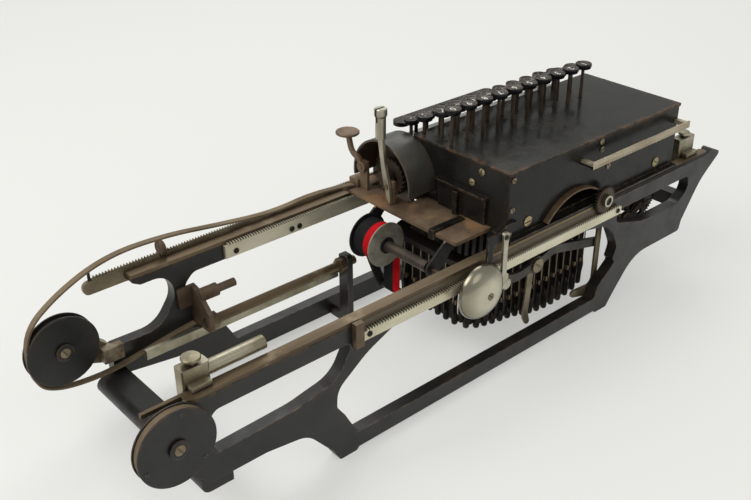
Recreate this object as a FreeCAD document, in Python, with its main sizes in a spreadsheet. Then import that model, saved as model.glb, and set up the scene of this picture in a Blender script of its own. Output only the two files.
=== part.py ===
"""Flat-bed billing typewriter: a keyboard head that travels along a two-rail frame.

Frame: +X along the rails towards the spring drum, +Y towards the side that carries
the bell, +Z up. The origin is under the middle of the machine, on the table. Millimetres.
"""
import FreeCAD, Part
import math
import os
import re

Vec = FreeCAD.Vector
doc = FreeCAD.newDocument("billing_typewriter")
sheet = doc.addObject("Spreadsheet::Sheet", "Sizes")

SIZES = {
    # side frames and rails
    "rail_top": 116, "rail_thick": 3, "rail_wide": 9.5, "casting_thick": 10,
    "near_face": 78, "far_face": -80, "near_rail_end": 277, "far_rail_end": 228,
    "tail_run": 54, "upper_bar": 13.5, "lower_bar_top": 16.5, "bar_lift": 2.5,
    "near_foot": 149, "far_foot": 162, "tail_foot": -153, "foot_long": 16,
    "arm_low": 43.5, "arm_deep": 21, "arm_end": 266, "far_arm_low": 36.5, "far_arm_end": 252,
    "crossbar_wide": 18, "crossbar_high": 14.5, "tail_bar_wide": 12, "tail_bar_high": 14,
    # racks, two and a half millimetres a tooth as for ten letters to the inch
    "tooth_pitch": 2.54, "tooth_high": 1.7, "rack_thick": 3.5, "near_rack_tip": 107.2,
    "near_rack_deep": 9, "far_rack_tip": 114.2, "far_rack_deep": 13, "pinion_teeth": 30,
    "pinion_x": -137, "backlash": 0.3,
    # spring drum and strap pulley
    "drum_x": 291, "drum_z": 92.3, "drum_radius": 28, "groove_radius": 25, "groove_wide": 5.5,
    "flange_thick": 1.5, "stud_radius": 5, "pulley_x": 291, "pulley_z": 80.7,
    "strap_wide": 5, "strap_thick": 1.2,
    # bars between the side frames
    "tie_rod_radius": 4, "tie_rod_y": -60, "tie_rod_z": 63, "post_x": 36, "flat_bar_z": 47,
    "tab_bar_rise": 4.8, "tab_bar_deep": 13.6, "tab_bar_thick": 3, "tab_bar_reach": 34,
    "clamp_radius": 6.5, "clamp_wide": 4,
    # stops
    "stop_long": 21, "stop_deep": 10, "stop_high": 22, "stop_arm_radius": 5, "stop_arm_long": 44,
    "stop_inset": 4, "right_stop_high": 25, "stop_knob_radius": 6.7,
    # head
    "head_left": -20.5, "head_long": 226.5, "head_near": 72, "head_far": -35.5, "sheet_metal": 2,
    "casing_top": 174, "cover_lip": 1, "base_thick": 4.7, "base_far": -89.7,
    "moon_x": -104, "moon_radius": 50, "moon_drop": 28,
    "deck_front": -88, "deck_low": 150, "deck_high": 171,
    # keyboard
    "key_pitch": 18.4, "row_pitch": 17, "row_drop": 8, "rear_row_y": 2.9, "rear_row_top": 208.5,
    "key_margin": 5.7, "keys_in_row": 10, "key_radius": 7.8, "key_thick": 4.5, "stem_radius": 1.7,
    # left end of the head
    "hood_radius": 35.4, "hood_y": -44, "hood_z": 139.5, "hood_long": 29.5,
    "shelf_long": 40.5, "shelf_thick": 3, "shelf_far": -82, "shelf_near": 56,
    "spool_x": 34, "spool_z": 101, "spool_radius": 19.5, "ribbon_wide": 22, "ribbon_radius": 16.5,
    "spool_near": -9, "shaft_radius": 2.5, "hub_radius": 4.6,
    # bell
    "bell_x": 23, "bell_z": 96, "bell_radius": 23, "bell_high": 12.1, "bell_wall": 1.5, "bell_back": 85.4,
    # type basket
    "basket_x": -82, "basket_y": 8, "basket_long": 84, "basket_wide": 45, "basket_top": 96,
    "basket_round": 16, "type_bars": 46, "bar_long": 74, "feed_in": 11, "feed_z": 80, "feed_radius": 23,
    "guard_low": 12,
    # clearances
    "slide_gap": 0.3, "turn_gap": 0.05,
}
for row, (alias, value) in enumerate(SIZES.items(), start=1):
    sheet.set("A%d" % row, alias.replace("_", " "))
    sheet.set("B%d" % row, str(value))
    sheet.setAlias("B%d" % row, alias)
doc.recompute()

PLANES = {"y": "XZ_Plane", "x": "YZ_Plane", "z": "XY_Plane"}
nodes = []


class Size:
    """Reads the sheet's values by name."""

    def __getattr__(self, alias):
        return float(getattr(sheet, alias))


s = Size()


def bind(obj, prop, text):
    """Binds a property to a formula of sheet names."""
    obj.setExpression(prop, re.sub(r"[a-z][a-z_]*[a-z]", lambda word: "Sizes." + word.group(), str(text)))


def place(obj, x=0, y=0, z=0):
    for axis, text in zip("xyz", (x, y, z)):
        bind(obj, "Placement.Base." + axis, text)


def node(obj, label):
    """Marks an object as one finished piece, with the label that names its file."""
    obj.Label = label
    nodes.append(obj)
    return obj


def corner(before, point, after, radius):
    """Tangent points and middle of a rounded corner, or the bare corner."""
    here = Vec(point[0], point[1], 0)
    back = Vec(before[0], before[1], 0) - here
    ahead = Vec(after[0], after[1], 0) - here
    half = back.getAngle(ahead) / 2
    if radius <= 0 or abs(half - math.pi / 2) < 1e-4:
        return None
    reach = min(radius / math.tan(half), 0.49 * back.Length, 0.49 * ahead.Length)
    start = here + back.normalize() * reach
    end = here + ahead.normalize() * reach
    round_by = reach * math.tan(half)
    middle = here + (start + end - here * 2).normalize() * (round_by / math.sin(half) - round_by)
    return start, middle, end


def outline(points):
    """Closed outline of lines and tangent arcs from (x, y, corner radius) points."""
    edges = []
    count = len(points)
    spans = []
    for i, point in enumerate(points):
        spot = corner(points[i - 1], point, points[(i + 1) % count], point[2])
        here = Vec(point[0], point[1], 0)
        spans.append(spot or (here, None, here))
    for i, (start, middle, end) in enumerate(spans):
        if middle is not None:
            edges.append(Part.Arc(start, middle, end))
        following = spans[(i + 1) % count][0]
        if (following - end).Length > 1e-6:
            edges.append(Part.LineSegment(end, following))
    return edges


def circle(x, y, radius):
    return [Part.Circle(Vec(x, y, 0), Vec(0, 0, 1), radius)]


def box_points(x0, x1, y0, y1, radius=0):
    return [(x0, y0, radius), (x1, y0, radius), (x1, y1, radius), (x0, y1, radius)]


def band(points, thick):
    """Closed outline of a strip of constant thickness along an open rounded route."""
    sides = ([], [])
    last = len(points) - 1
    for i, point in enumerate(points):
        here = Vec(point[0], point[1], 0)
        if i in (0, last):
            other = points[1] if i == 0 else points[last - 1]
            along = (Vec(other[0], other[1], 0) - here).normalize() * (1 if i == 0 else -1)
            normal = Vec(-along.y, along.x, 0) * (thick / 2)
            for side, sign in zip(sides, (1, -1)):
                side.append((here + normal * sign,))
            continue
        start, middle, end = corner(points[i - 1], point, points[i + 1], point[2])
        for side, sign in zip(sides, (1, -1)):
            spots = []
            for spot, along in ((start, start - Vec(points[i - 1][0], points[i - 1][1], 0)),
                                (middle, end - start),
                                (end, Vec(points[i + 1][0], points[i + 1][1], 0) - end)):
                along.normalize()
                spots.append(spot + Vec(-along.y, along.x, 0) * (thick / 2 * sign))
            side.append(tuple(spots))
    edges = []
    for side in sides:
        for i, spots in enumerate(side):
            if len(spots) == 3:
                edges.append(Part.Arc(*spots))
            if i < last:
                edges.append(Part.LineSegment(spots[-1], side[i + 1][0]))
    edges.append(Part.LineSegment(sides[0][0][0], sides[1][0][0]))
    edges.append(Part.LineSegment(sides[0][-1][-1], sides[1][-1][-1]))
    return edges


def sketch_on(body, axis, geometry):
    sketch = body.newObject("Sketcher::SketchObject", "Sketch")
    plane = [f for f in body.Origin.OriginFeatures if f.Role == PLANES[axis]][0]
    sketch.AttachmentSupport = (plane, [""])
    sketch.MapMode = "FlatFace"
    sketch.addGeometry(geometry, False)
    return sketch


def pad(axis, geometry, thick, middle):
    """Plate of an outline, padded to both sides of the plane at middle along an axis."""
    body = doc.addObject("PartDesign::Body", "Body")
    sketch = sketch_on(body, axis, geometry)
    feature = body.newObject("PartDesign::Pad", "Pad")
    feature.Profile = sketch
    feature.SideType = "Symmetric"
    bind(feature, "Length", thick)
    bind(body, "Placement.Base." + axis, middle)
    return body


def turn(axis, profile, x=0, y=0, z=0):
    """Turned piece about an axis from (radius, distance, corner radius) points."""
    body = doc.addObject("PartDesign::Body", "Body")
    flip = axis == "x"
    points = [(p[1], p[0], p[2]) if flip else p for p in profile]
    sketch = sketch_on(body, "y" if axis == "z" else "z", outline(points))
    feature = body.newObject("PartDesign::Revolution", "Turning")
    feature.Profile = sketch
    feature.ReferenceAxis = (sketch, ["H_Axis" if flip else "V_Axis"])
    feature.Angle = 360
    place(body, x, y, z)
    return body


def block(x0, x1, y0, y1, z0, z1):
    """Box between two corners, each side a formula."""
    obj = doc.addObject("Part::Box", "Block")
    for prop, low, high in (("Length", x0, x1), ("Width", y0, y1), ("Height", z0, z1)):
        bind(obj, prop, "(%s) - (%s)" % (high, low))
    place(obj, x0, y0, z0)
    return obj


TURNS = {"x": FreeCAD.Rotation(Vec(0, 1, 0), 90), "y": FreeCAD.Rotation(Vec(1, 0, 0), -90),
         "z": FreeCAD.Rotation()}


def pin(axis, radius, long, x, y, z):
    """Round bar that starts at a point and runs along an axis."""
    obj = doc.addObject("Part::Cylinder", "Pin")
    obj.Placement.Rotation = TURNS[axis]
    bind(obj, "Radius", radius)
    bind(obj, "Height", long)
    place(obj, x, y, z)
    return obj


def fuse(*objs):
    obj = doc.addObject("Part::MultiFuse", "Fuse")
    obj.Shapes = list(objs)
    obj.Refine = True
    return obj


def cut(base, *tools):
    obj = doc.addObject("Part::Cut", "Cut")
    obj.Base = base
    obj.Tool = tools[0] if len(tools) == 1 else fuse(*tools)
    obj.Refine = True
    return obj


def group(*objs):
    obj = doc.addObject("Part::Compound", "Group")
    obj.Links = list(objs)
    return obj


def plain(shape):
    obj = doc.addObject("Part::Feature", "Form")
    obj.Shape = shape
    return obj


# Side frames

BAR_LOW = s.rail_top - s.rail_thick - s.upper_bar
SEAT = s.rail_top - s.rail_thick
LEFT, RIGHT = s.head_left, s.head_left - s.head_long
TAIL = RIGHT - s.tail_run
TAIL_TEXT = "(head_left - head_long - tail_run)"


def tail_contour():
    """Outer edge of the tail end, from the rail seat round to the tail foot."""
    low = s.arm_low
    foot = s.tail_foot
    half = s.foot_long / 2
    return [(TAIL, SEAT, 0), (TAIL - 4, SEAT + 4.5, 3), (TAIL - 20.7, SEAT - 3, 3), (TAIL + 8, SEAT - 25, 60),
            (TAIL + 31, low + 9, 6), (TAIL + 33, low - 1.5, 4), (foot - 43, low - 1.5, 40),
            (foot - 14, 8, 10),
            (foot - half, 0, 2), (foot + half, 0, 2), (foot + half + 2, s.bar_lift, 1)]


def foot_contour(foot):
    half = s.foot_long / 2
    return [(foot - half - 2, s.bar_lift, 1), (foot - half, 0, 1.5), (foot + half, 0, 2)]


def tail_side(low):
    """Tail edge of the long window, from the upper bar down to the lower bar."""
    foot = s.tail_foot
    return [(foot + 63, BAR_LOW, 60), (foot, BAR_LOW - 11, 25), (foot - 14, BAR_LOW - 38, 10),
            (foot - 10, BAR_LOW - 50, 3), (foot - 14, BAR_LOW - 54, 3), (foot + 9, low + 11, 5),
            (foot + 11, low, 3)]


def tail_window():
    foot = s.tail_foot
    deep = BAR_LOW - 25
    return [(foot - 9, BAR_LOW, 8), (TAIL + 31, BAR_LOW, 6), (TAIL + 28, deep + 11, 10), (TAIL + 42, deep, 8),
            (foot - 51, deep, 40), (foot - 7, deep + 13, 6)]


def near_side_frame():
    foot = s.near_foot
    arm_top = s.arm_low + s.arm_deep
    low = s.lower_bar_top
    end = s.arm_end
    drum_x, drum_z = s.drum_x, s.drum_z
    shell = [(s.near_rail_end, SEAT, 2)] + tail_contour() + foot_contour(foot)
    shell += [(foot + 15, 12, 8), (foot + 37, s.arm_low - 5, 22), (foot + 72, s.arm_low, 30),
              (end, s.arm_low, 3), (end + 13, s.arm_low + 13, 8), (drum_x + 13, drum_z - 11, 12),
              (drum_x + 13, drum_z + 12, 12), (s.near_rail_end + 3, SEAT - 6, 4)]
    drum_window = [(end - 4, BAR_LOW, 8), (foot - 6, BAR_LOW, 3), (foot + 8, arm_top + 9, 25),
                   (foot + 46, arm_top + 2, 60), (end - 4, arm_top, 6)]
    long_window = [(foot - 9, low, 2), (foot + 3, low + 23, 2), (foot + 10, low + 33, 6),
                   (foot + 9, low + 48, 20),
                   (foot - 19, BAR_LOW - 15, 60), (foot - 53, BAR_LOW, 10)] + tail_side(low)
    geometry = outline(shell) + outline(drum_window) + outline(long_window) + outline(tail_window())
    return pad("y", geometry, "casting_thick", "near_face - casting_thick / 2")


def far_side_frame():
    foot = s.far_foot
    low = s.lower_bar_top + 3.5
    arm = s.far_arm_low
    top = arm + 28.5
    end = s.far_arm_end
    tip = s.far_rail_end
    shell = [(tip, SEAT, 1)] + tail_contour() + foot_contour(foot)
    shell += [(foot + 19, arm - 10, 6), (foot + 38, arm - 8, 20), (end, arm - 1, 4), (end, top - 3, 4),
              (end - 43, top - 4, 24), (end - 61, top + 21, 18), (end - 53, SEAT - 7, 16),
              (tip - 7, SEAT - 7, 3),
              (tip, SEAT - 3, 2)]
    window = [(foot - 22, low, 3), (foot - 12, low + 18, 20), (foot + 10, low + 38, 30),
              (foot + 24, BAR_LOW - 11, 14),
              (foot + 13, BAR_LOW, 10)] + tail_side(low)
    geometry = outline(shell) + outline(window) + outline(tail_window())
    return pad("y", geometry, "casting_thick", "far_face - casting_thick / 2")


node(near_side_frame(), "near_side_frame")
node(far_side_frame(), "far_side_frame")


# Rails, racks and the bars between the side frames

def rail(end, tongue):
    half = s.rail_wide / 2
    points = [(TAIL + 1, -half, half), (end, -half, 0.5)]
    if tongue:
        points += [(end + tongue, -half, 0.5), (end + tongue, 3 - half, 0.5), (end, 3 - half, 0)]
    points += [(end, half, 0.5), (TAIL + 1, half, half)]
    return points


def rack_face(start, end, tip, deep):
    """Side view of a rack: trapezoid teeth along the top of a bar, tooth tops on whole pitches."""
    pitch = s.tooth_pitch
    root = tip - s.tooth_high
    slope = s.tooth_high * math.tan(math.radians(20))
    half = (pitch - s.backlash) / 4 - slope / 2
    first = math.ceil((start + pitch) / pitch)
    last = math.floor((end - pitch) / pitch)
    points = [Vec(start, 0, tip - deep), Vec(start, 0, root)]
    for k in range(first, last + 1):
        x = k * pitch
        points += [Vec(x - half - slope, 0, root), Vec(x - half, 0, tip),
                   Vec(x + half, 0, tip), Vec(x + half + slope, 0, root)]
    points += [Vec(end, 0, root), Vec(end, 0, tip - deep)]
    return Part.Face(Part.makePolygon(points + points[:1]))


def gear_face(teeth, pitch_radius, centre, phase, slim=0.0):
    """Toothed disc on an axis along Y, with the same teeth as the racks."""
    rise = s.tooth_high / 2
    step = 2 * math.pi / teeth
    root_half = (0.5 - slim / 2) * step / 2 * 1.35
    tip_half = (0.5 - slim) * step / 2 * 0.5
    points = []
    for k in range(teeth):
        for radius, shift in ((pitch_radius - rise - 0.2, -root_half), (pitch_radius + rise, -tip_half),
                              (pitch_radius + rise, tip_half), (pitch_radius - rise - 0.2, root_half)):
            angle = phase + k * step + shift
            points.append(centre + Vec(radius * math.cos(angle), 0, radius * math.sin(angle)))
    return Part.Face(Part.makePolygon(points + points[:1]))


def extruded(face, y0, y1):
    face.translate(Vec(0, y0, 0))
    return face.extrude(Vec(0, y1 - y0, 0))


node(pad("z", outline(rail(s.near_rail_end, 28)), "rail_thick", "rail_top - rail_thick / 2"), "near_rail")
bind(nodes[-1], "Placement.Base.y", "near_face - casting_thick / 2")
node(pad("z", outline(rail(s.far_rail_end, 0)), "rail_thick", "rail_top - rail_thick / 2"), "far_rail")
bind(nodes[-1], "Placement.Base.y", "far_face - casting_thick / 2")

NEAR_RACK = (s.tail_foot - 8, s.near_foot - 12.5)
FAR_RACK = (s.tail_foot - 8, s.far_foot - 16)
near_teeth = plain(extruded(rack_face(*NEAR_RACK, s.near_rack_tip, s.near_rack_deep),
                            s.near_face, s.near_face + s.rack_thick))
end_lug = block("near_foot - 12.5", "near_foot - 5", "near_face", "near_face + rack_thick + 1.4",
                "near_rack_tip - near_rack_deep - 3", "rail_top - 0.5")
node(fuse(near_teeth, end_lug), "near_rack")
node(plain(extruded(rack_face(*FAR_RACK, s.far_rack_tip, s.far_rack_deep),
                    s.far_face, s.far_face + s.rack_thick)), "far_rack")

BAR_Z = "arm_low - 17.5"
bar = block("arm_end - 23", "arm_end - 23 + crossbar_wide", "far_face", "near_face - casting_thick",
            BAR_Z, BAR_Z + " + crossbar_high")
nose = pin("y", "crossbar_high / 2", "near_face - casting_thick - far_face", "arm_end - 23 + crossbar_wide",
           "far_face", BAR_Z + " + crossbar_high / 2")
turned_end = block("arm_end - 21", "arm_end - 7", "near_face - casting_thick - 6",
                   "near_face - casting_thick",
                   BAR_Z + " + 1", "arm_low + arm_deep / 2")
tail_bar = block(TAIL_TEXT + " + 20", TAIL_TEXT + " + 20 + tail_bar_wide", "far_face",
                 "near_face - casting_thick",
                 "arm_low + 19", "arm_low + 19 + tail_bar_high")
node(group(fuse(bar, nose, turned_end), tail_bar), "crossbars")

# Tie rod: a nut at each end, carried by a plate on the far leg and by a post on the far lower bar

ROD_START = "post_x - 9"
rod = pin("x", "tie_rod_radius", "far_foot + 17 - (post_x - 9)", ROD_START, "tie_rod_y", "tie_rod_z")
nuts = [pad("x", outline([(7 * math.cos(math.radians(a)), 7 * math.sin(math.radians(a)), 0.6)
                          for a in range(0, 360, 60)]), 6, where)
        for where in ("post_x + 6", "far_foot + 11")]
for nut in nuts:
    bind(nut, "Placement.Base.y", "tie_rod_y")
    bind(nut, "Placement.Base.z", "tie_rod_z")
node(fuse(rod, *nuts), "tie_rod")

rod_hole = ("tie_rod_radius + turn_gap", 40, "tie_rod_y", "tie_rod_z")
post_side = [(s.far_face, 8, 0), (s.tie_rod_y - 6, 8, 6), (s.tie_rod_y - 6, s.tie_rod_z + 9, 3),
             (s.tie_rod_y + 6, s.tie_rod_z + 9, 3), (s.tie_rod_y + 6, 2, 8), (s.far_face, 2, 0)]
post = pad("x", outline(post_side), 6, "post_x")
node(cut(post, pin("x", rod_hole[0], rod_hole[1], "post_x - 20", *rod_hole[2:])), "rod_post")

slant = [(s.far_face, s.tie_rod_z - 13, 0), (s.far_face, s.tie_rod_z + 27, 0),
         (s.far_face + 8, s.tie_rod_z + 26, 4),
         (s.tie_rod_y + 7, s.tie_rod_z + 9, 4), (s.tie_rod_y + 7, s.tie_rod_z - 7, 3),
         (s.far_face + 8, s.tie_rod_z - 7, 1),
         (s.far_face + 8, s.tie_rod_z - 13, 2)]
plate = pad("x", outline(slant), 4, "far_foot + 16")
foot_plate = block("far_foot + 14", "far_foot + 30", "far_face", "far_face + 3", "tie_rod_z + 9",
                   "tie_rod_z + 27")
sleeve = pin("x", 5.5, 17, "far_foot", "far_face + 11", "tie_rod_z + 20.5")
spigot = pin("x", 3.4, 34, "far_foot - 17", "far_face + 11", "tie_rod_z + 20.5")
node(cut(fuse(plate, foot_plate, sleeve, spigot),
         pin("x", rod_hole[0], rod_hole[1], "far_foot - 10", *rod_hole[2:])), "leg_bracket")
node(block("post_x + 3", "far_foot + 68", "tie_rod_y - 11", "tie_rod_y - 7.2",
           "flat_bar_z", "flat_bar_z + 8"), "flat_bar")


# Toothed tabulator bar on the outer side of the far rail

def tab_bar():
    """Toothed bar with a rounded free end and a notch for the clamp wheel."""
    start, end = s.tail_foot - 60, s.far_rail_end + s.tab_bar_reach
    tip, low = s.rail_top + s.tab_bar_rise, s.rail_top + s.tab_bar_rise - s.tab_bar_deep
    y0 = s.far_face - s.casting_thick - s.tab_bar_thick
    crown = tip - s.tooth_high - 0.8
    tongue = Part.Wire([e.toShape() for e in outline(
        [(end - 20, low, 0), (end, low, 5), (end, crown, 5), (end - 20, crown, 0)])])
    tongue.rotate(Vec(0, 0, 0), Vec(1, 0, 0), 90)
    bar = extruded(rack_face(start, end - 8, tip, s.tab_bar_deep), y0, y0 + s.tab_bar_thick)
    bar = bar.fuse(extruded(Part.Face(tongue), y0, y0 + s.tab_bar_thick))
    room = s.clamp_wide + 4 * s.slide_gap
    notch = Part.makeBox(room, s.tab_bar_thick + 2, s.tab_bar_deep,
                         Vec(CLAMP_X - 2 * s.slide_gap, y0 - 1, CLAMP_Z - s.clamp_radius - s.slide_gap))
    return bar.cut(notch).removeSplitter()


CLAMP_X = s.far_rail_end - 36
CLAMP_Z = s.rail_top + s.clamp_radius + 2 * s.slide_gap
node(plain(tab_bar()), "tabulator_bar")


# Spring drum, strap pulley and what carries them

DRUM_LOW = "near_face + slide_gap * 2"


def grooved(hub):
    """Half section of a flanged drum with one groove, from its hub out."""
    edge, flange, groove = s.drum_radius, s.flange_thick, s.groove_wide
    back = flange + groove
    return [(hub, 0, 0), (edge - 0.4, 0, 0), (edge, 0.4, 0), (edge, flange, 0), (s.groove_radius, flange, 0),
            (s.groove_radius, back, 0), (edge, back, 0), (edge, back + flange - 0.4, 0),
            (edge - 0.4, back + flange, 0), (hub, back + flange, 0)]


def stud(hub, low, long):
    """Shoulder stud with a round slotted head clear of the drum."""
    head = low + long
    return [(0, 0, 0), (hub, 0, 0), (hub, head, 0), (hub + 2, head, 0), (hub + 2, head + 1.6, 0),
            (hub + 1, head + 2.5, 0),
            (0, head + 2.5, 0)]


RUN = s.flange_thick * 2 + s.groove_wide
node(turn("y", grooved(s.stud_radius + s.turn_gap), "drum_x", DRUM_LOW, "drum_z"), "spring_drum")
wound = [(s.groove_radius + 0.1, 0, 0), (s.groove_radius + 2, 0, 0), (s.groove_radius + 2, s.strap_wide, 0),
         (s.groove_radius + 0.1, s.strap_wide, 0)]
node(turn("y", wound, "drum_x", DRUM_LOW + " + flange_thick + (groove_wide - strap_wide) / 2", "drum_z"),
     "drum_band")
PULLEY_LOW = "far_face - slide_gap * 2"
node(turn("y", grooved(s.stud_radius + s.turn_gap), "pulley_x", PULLEY_LOW, "pulley_z"), "strap_pulley")
gap = 2 * s.slide_gap
near_stud = turn("y", stud(s.stud_radius, gap, RUN + 0.4), "drum_x", "near_face", "drum_z")
far_stud = turn("y", stud(s.stud_radius, gap, RUN + 0.4), "pulley_x", "far_face - 4 * slide_gap", "pulley_z")


def pulley_bracket():
    end = s.far_arm_end
    px, pz = s.pulley_x, s.pulley_z
    arm = [(end, s.far_arm_low + 12, 1), (px - 8, pz - 20, 6), (px + 12, pz - 11, 11), (px + 12, pz + 11, 11),
           (px - 10, pz + 11, 8), (end, s.far_arm_low + 28, 1)]
    plate = pad("y", outline(arm), "casting_thick - 4 * slide_gap",
                "far_face - casting_thick / 2 - 2 * slide_gap")
    clip = block("far_arm_end - 7", "pulley_x - drum_radius - 1.5", "far_face - 4 * slide_gap",
                 "far_face + 7",
                 "far_arm_low + 18", "far_arm_low + 30")
    return cut(fuse(plate, clip), block("far_arm_end - 8", "far_arm_end", "far_face - 5", "far_face",
                                        "far_arm_low", "far_arm_low + 40"))


node(pulley_bracket(), "pulley_bracket")


# Strap: from the tie rod's nut, under and round the pulley, up in a slack arch to the head

def strap_route():
    px, pz, r = s.pulley_x, s.pulley_z, s.groove_radius + 0.4 + s.strap_thick / 2
    head = s.head_left + s.shelf_long - 7.5
    top = s.rail_top
    return [(s.far_foot + 18.5, s.tie_rod_z - 9, 0), (px - 88, pz - r - 13, 40), (px - 35, pz - r - 9.5, 60),
            (px + r, pz - r - 4, r + 2), (px + r, top - 12, 26), (px - 3, top + 10.5, 60),
            (px - 45, top + 25, 100),
            (px - 105, top + 23, 300), (px - 200, top + 16.5, 400), (head, top + 9.5, 0)]


strap = pad("y", band(strap_route(), s.strap_thick), "strap_wide",
            "far_face - 2 * slide_gap + flange_thick + groove_wide / 2")
node(strap, "strap")


# Stops that slide on the inner side of the near rail

STOP_Y = "(near_face - casting_thick - slide_gap - stop_deep)"
left_x = "near_rail_end - stop_inset - stop_long"
left_block = pad("z", outline(box_points(0, s.stop_long, 0, s.stop_deep, 2)), "stop_high",
                 "rail_top - 8 + stop_high / 2")
place(left_block, left_x, STOP_Y, "rail_top - 8 + stop_high / 2")
left_arm = pin("x", "stop_arm_radius", "stop_arm_long + 4",
               "near_rail_end - stop_inset - stop_long - stop_arm_long",
               STOP_Y + " + stop_arm_radius", "rail_top + 5.5")
lip = block("near_rail_end - stop_inset - stop_long + 3", "near_rail_end - stop_inset - 3", STOP_Y + " + 4",
            "near_face - 4",
            "rail_top + slide_gap", "rail_top + 4")
node(fuse(left_block, left_arm, lip), "left_stop")
knob_edge = s.stop_knob_radius
knob_profile = [(0, 0, 0), (3.5, 0, 0), (3.5, 3, 0), (knob_edge - 0.6, 3.2, 0), (knob_edge, 3.8, 0),
                (knob_edge, 4.8, 0), (knob_edge - 0.6, 5.4, 0), (0, 5.7, 0)]
node(turn("z", knob_profile, "near_rail_end - stop_inset - stop_long / 2", STOP_Y + " + stop_deep / 2",
          "rail_top - 8 + stop_high + 0.1"), "left_stop_knob")
RIGHT_X = "(%s + 12)" % TAIL_TEXT
right_block = pad("z", outline(box_points(0, 24, 0, s.stop_deep, 2)), "right_stop_high",
                  "rail_top - 8 + right_stop_high / 2")
place(right_block, RIGHT_X, STOP_Y, "rail_top - 8 + right_stop_high / 2")
right_lip = block(RIGHT_X + " + 3", RIGHT_X + " + 21", STOP_Y + " + 4", "near_face - 4",
                  "rail_top + slide_gap", "rail_top + 4")
screw_profile = [(0, 0, 0), (3, 0, 0), (3, 2, 0), (5.5, 2.4, 0), (5.5, 4.2, 0), (4.4, 5.2, 0), (0, 5.5, 0)]
stop_screw = turn("z", screw_profile, RIGHT_X + " + 12", STOP_Y + " + stop_deep / 2",
                  "rail_top - 8 + right_stop_high")
node(fuse(right_block, right_lip, stop_screw), "right_stop")


# Head: base that runs on the rails, casing, cover and key deck

WALL = s.sheet_metal
BASE_TOP = s.rail_top + s.slide_gap + s.base_thick
BASE_TEXT = "rail_top + slide_gap + base_thick"
PINION_R = s.tooth_pitch * s.pinion_teeth / (2 * math.pi)
PINION_Z = s.near_rack_tip - s.tooth_high / 2 + PINION_R + s.backlash


FEED_Y = 49
RIGHT_NEAR = 40
FEED_X = RIGHT + s.feed_in


def feed_ears():
    """Ears under the base that carry the right spool's shaft."""
    ears = []
    for y0 in (RIGHT_NEAR - s.ribbon_wide - 8, FEED_Y + 4):
        points = [(FEED_X - 7, s.rail_top + s.slide_gap + 1, 0), (FEED_X - 7, s.feed_z - 5, 5),
                  (FEED_X + 7, s.feed_z - 5, 5),
                  (FEED_X + 7, s.rail_top + s.slide_gap + 1, 0)]
        ears.append(pad("y", outline(points) + circle(FEED_X, s.feed_z, s.shaft_radius + s.turn_gap), 2,
                        y0 + 1))
    return ears


def head_base():
    near = s.head_near - WALL
    ring = outline(box_points(RIGHT + WALL, LEFT, s.base_far, near, 3))
    window = outline(box_points(RIGHT + 15, LEFT - 14, s.base_far + 21, near - 12, 6))
    plate = pad("z", ring + window, "base_thick", "rail_top + slide_gap + base_thick / 2")
    bore = pin("y", s.shaft_radius - 0.7 + s.turn_gap, 30, "pinion_x", "head_near - 25", PINION_Z)
    hanger = block("basket_x + 2", "basket_x + 16", "head_near - 14", "head_near - 12",
                   "basket_top - 32", "rail_top + slide_gap + 1")
    return fuse(cut(plate, bore), hanger, *feed_ears())


node(head_base(), "head_base")


def head_casing():
    """Four sheet walls with a half-moon opening in the near one, which ends in a sill over the rail."""
    outer = outline(box_points(RIGHT, LEFT, s.head_far, s.head_near, 1.5))
    inner = outline(box_points(RIGHT + WALL, LEFT - WALL, s.head_far + WALL, s.head_near - WALL, 0.5))
    high = "casing_top - (%s)" % BASE_TEXT
    ring = pad("z", outer + inner, high, "(casing_top + %s) / 2" % BASE_TEXT)
    apron = block("head_left - head_long", "head_left", "head_near - sheet_metal", "head_near",
                  "rail_top + 2 * slide_gap", BASE_TEXT + " + 1")
    moon = pin("y", "moon_radius", 12, "moon_x", "head_near - sheet_metal - 2", "rail_top - moon_drop")
    sill = ("head_near - 1", "near_face - 2 * slide_gap", "rail_top + slide_gap",
            "rail_top + slide_gap + sheet_metal")
    near_sill = block("pinion_x + 4", "head_left", *sill)
    tail_sill = block("head_left - head_long", "pinion_x - 4", *sill)
    return fuse(cut(fuse(ring, apron), moon), near_sill, tail_sill)


node(head_casing(), "head_casing")


def key_x(k, row):
    """Key places along a row, with the usual sideways step from row to row."""
    return FIRST_KEY_X + k * s.key_pitch + (0, -6, -2, -3)[row]


def row_y(row):
    return s.rear_row_y - row * s.row_pitch


KEYS = int(s.keys_in_row)
FIRST_KEY_X = LEFT - s.key_margin - (KEYS - 1) * s.key_pitch


def top_cover():
    lip = s.cover_lip
    plate = outline(box_points(RIGHT - lip, LEFT + lip, s.head_far - lip / 2, s.head_near + lip, 2))
    for row in range(3):
        for k in range(KEYS):
            plate += circle(key_x(k, row), row_y(row), s.stem_radius + s.slide_gap)
    return pad("z", plate, "sheet_metal", "casing_top + sheet_metal / 2")


node(top_cover(), "top_cover")


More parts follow.
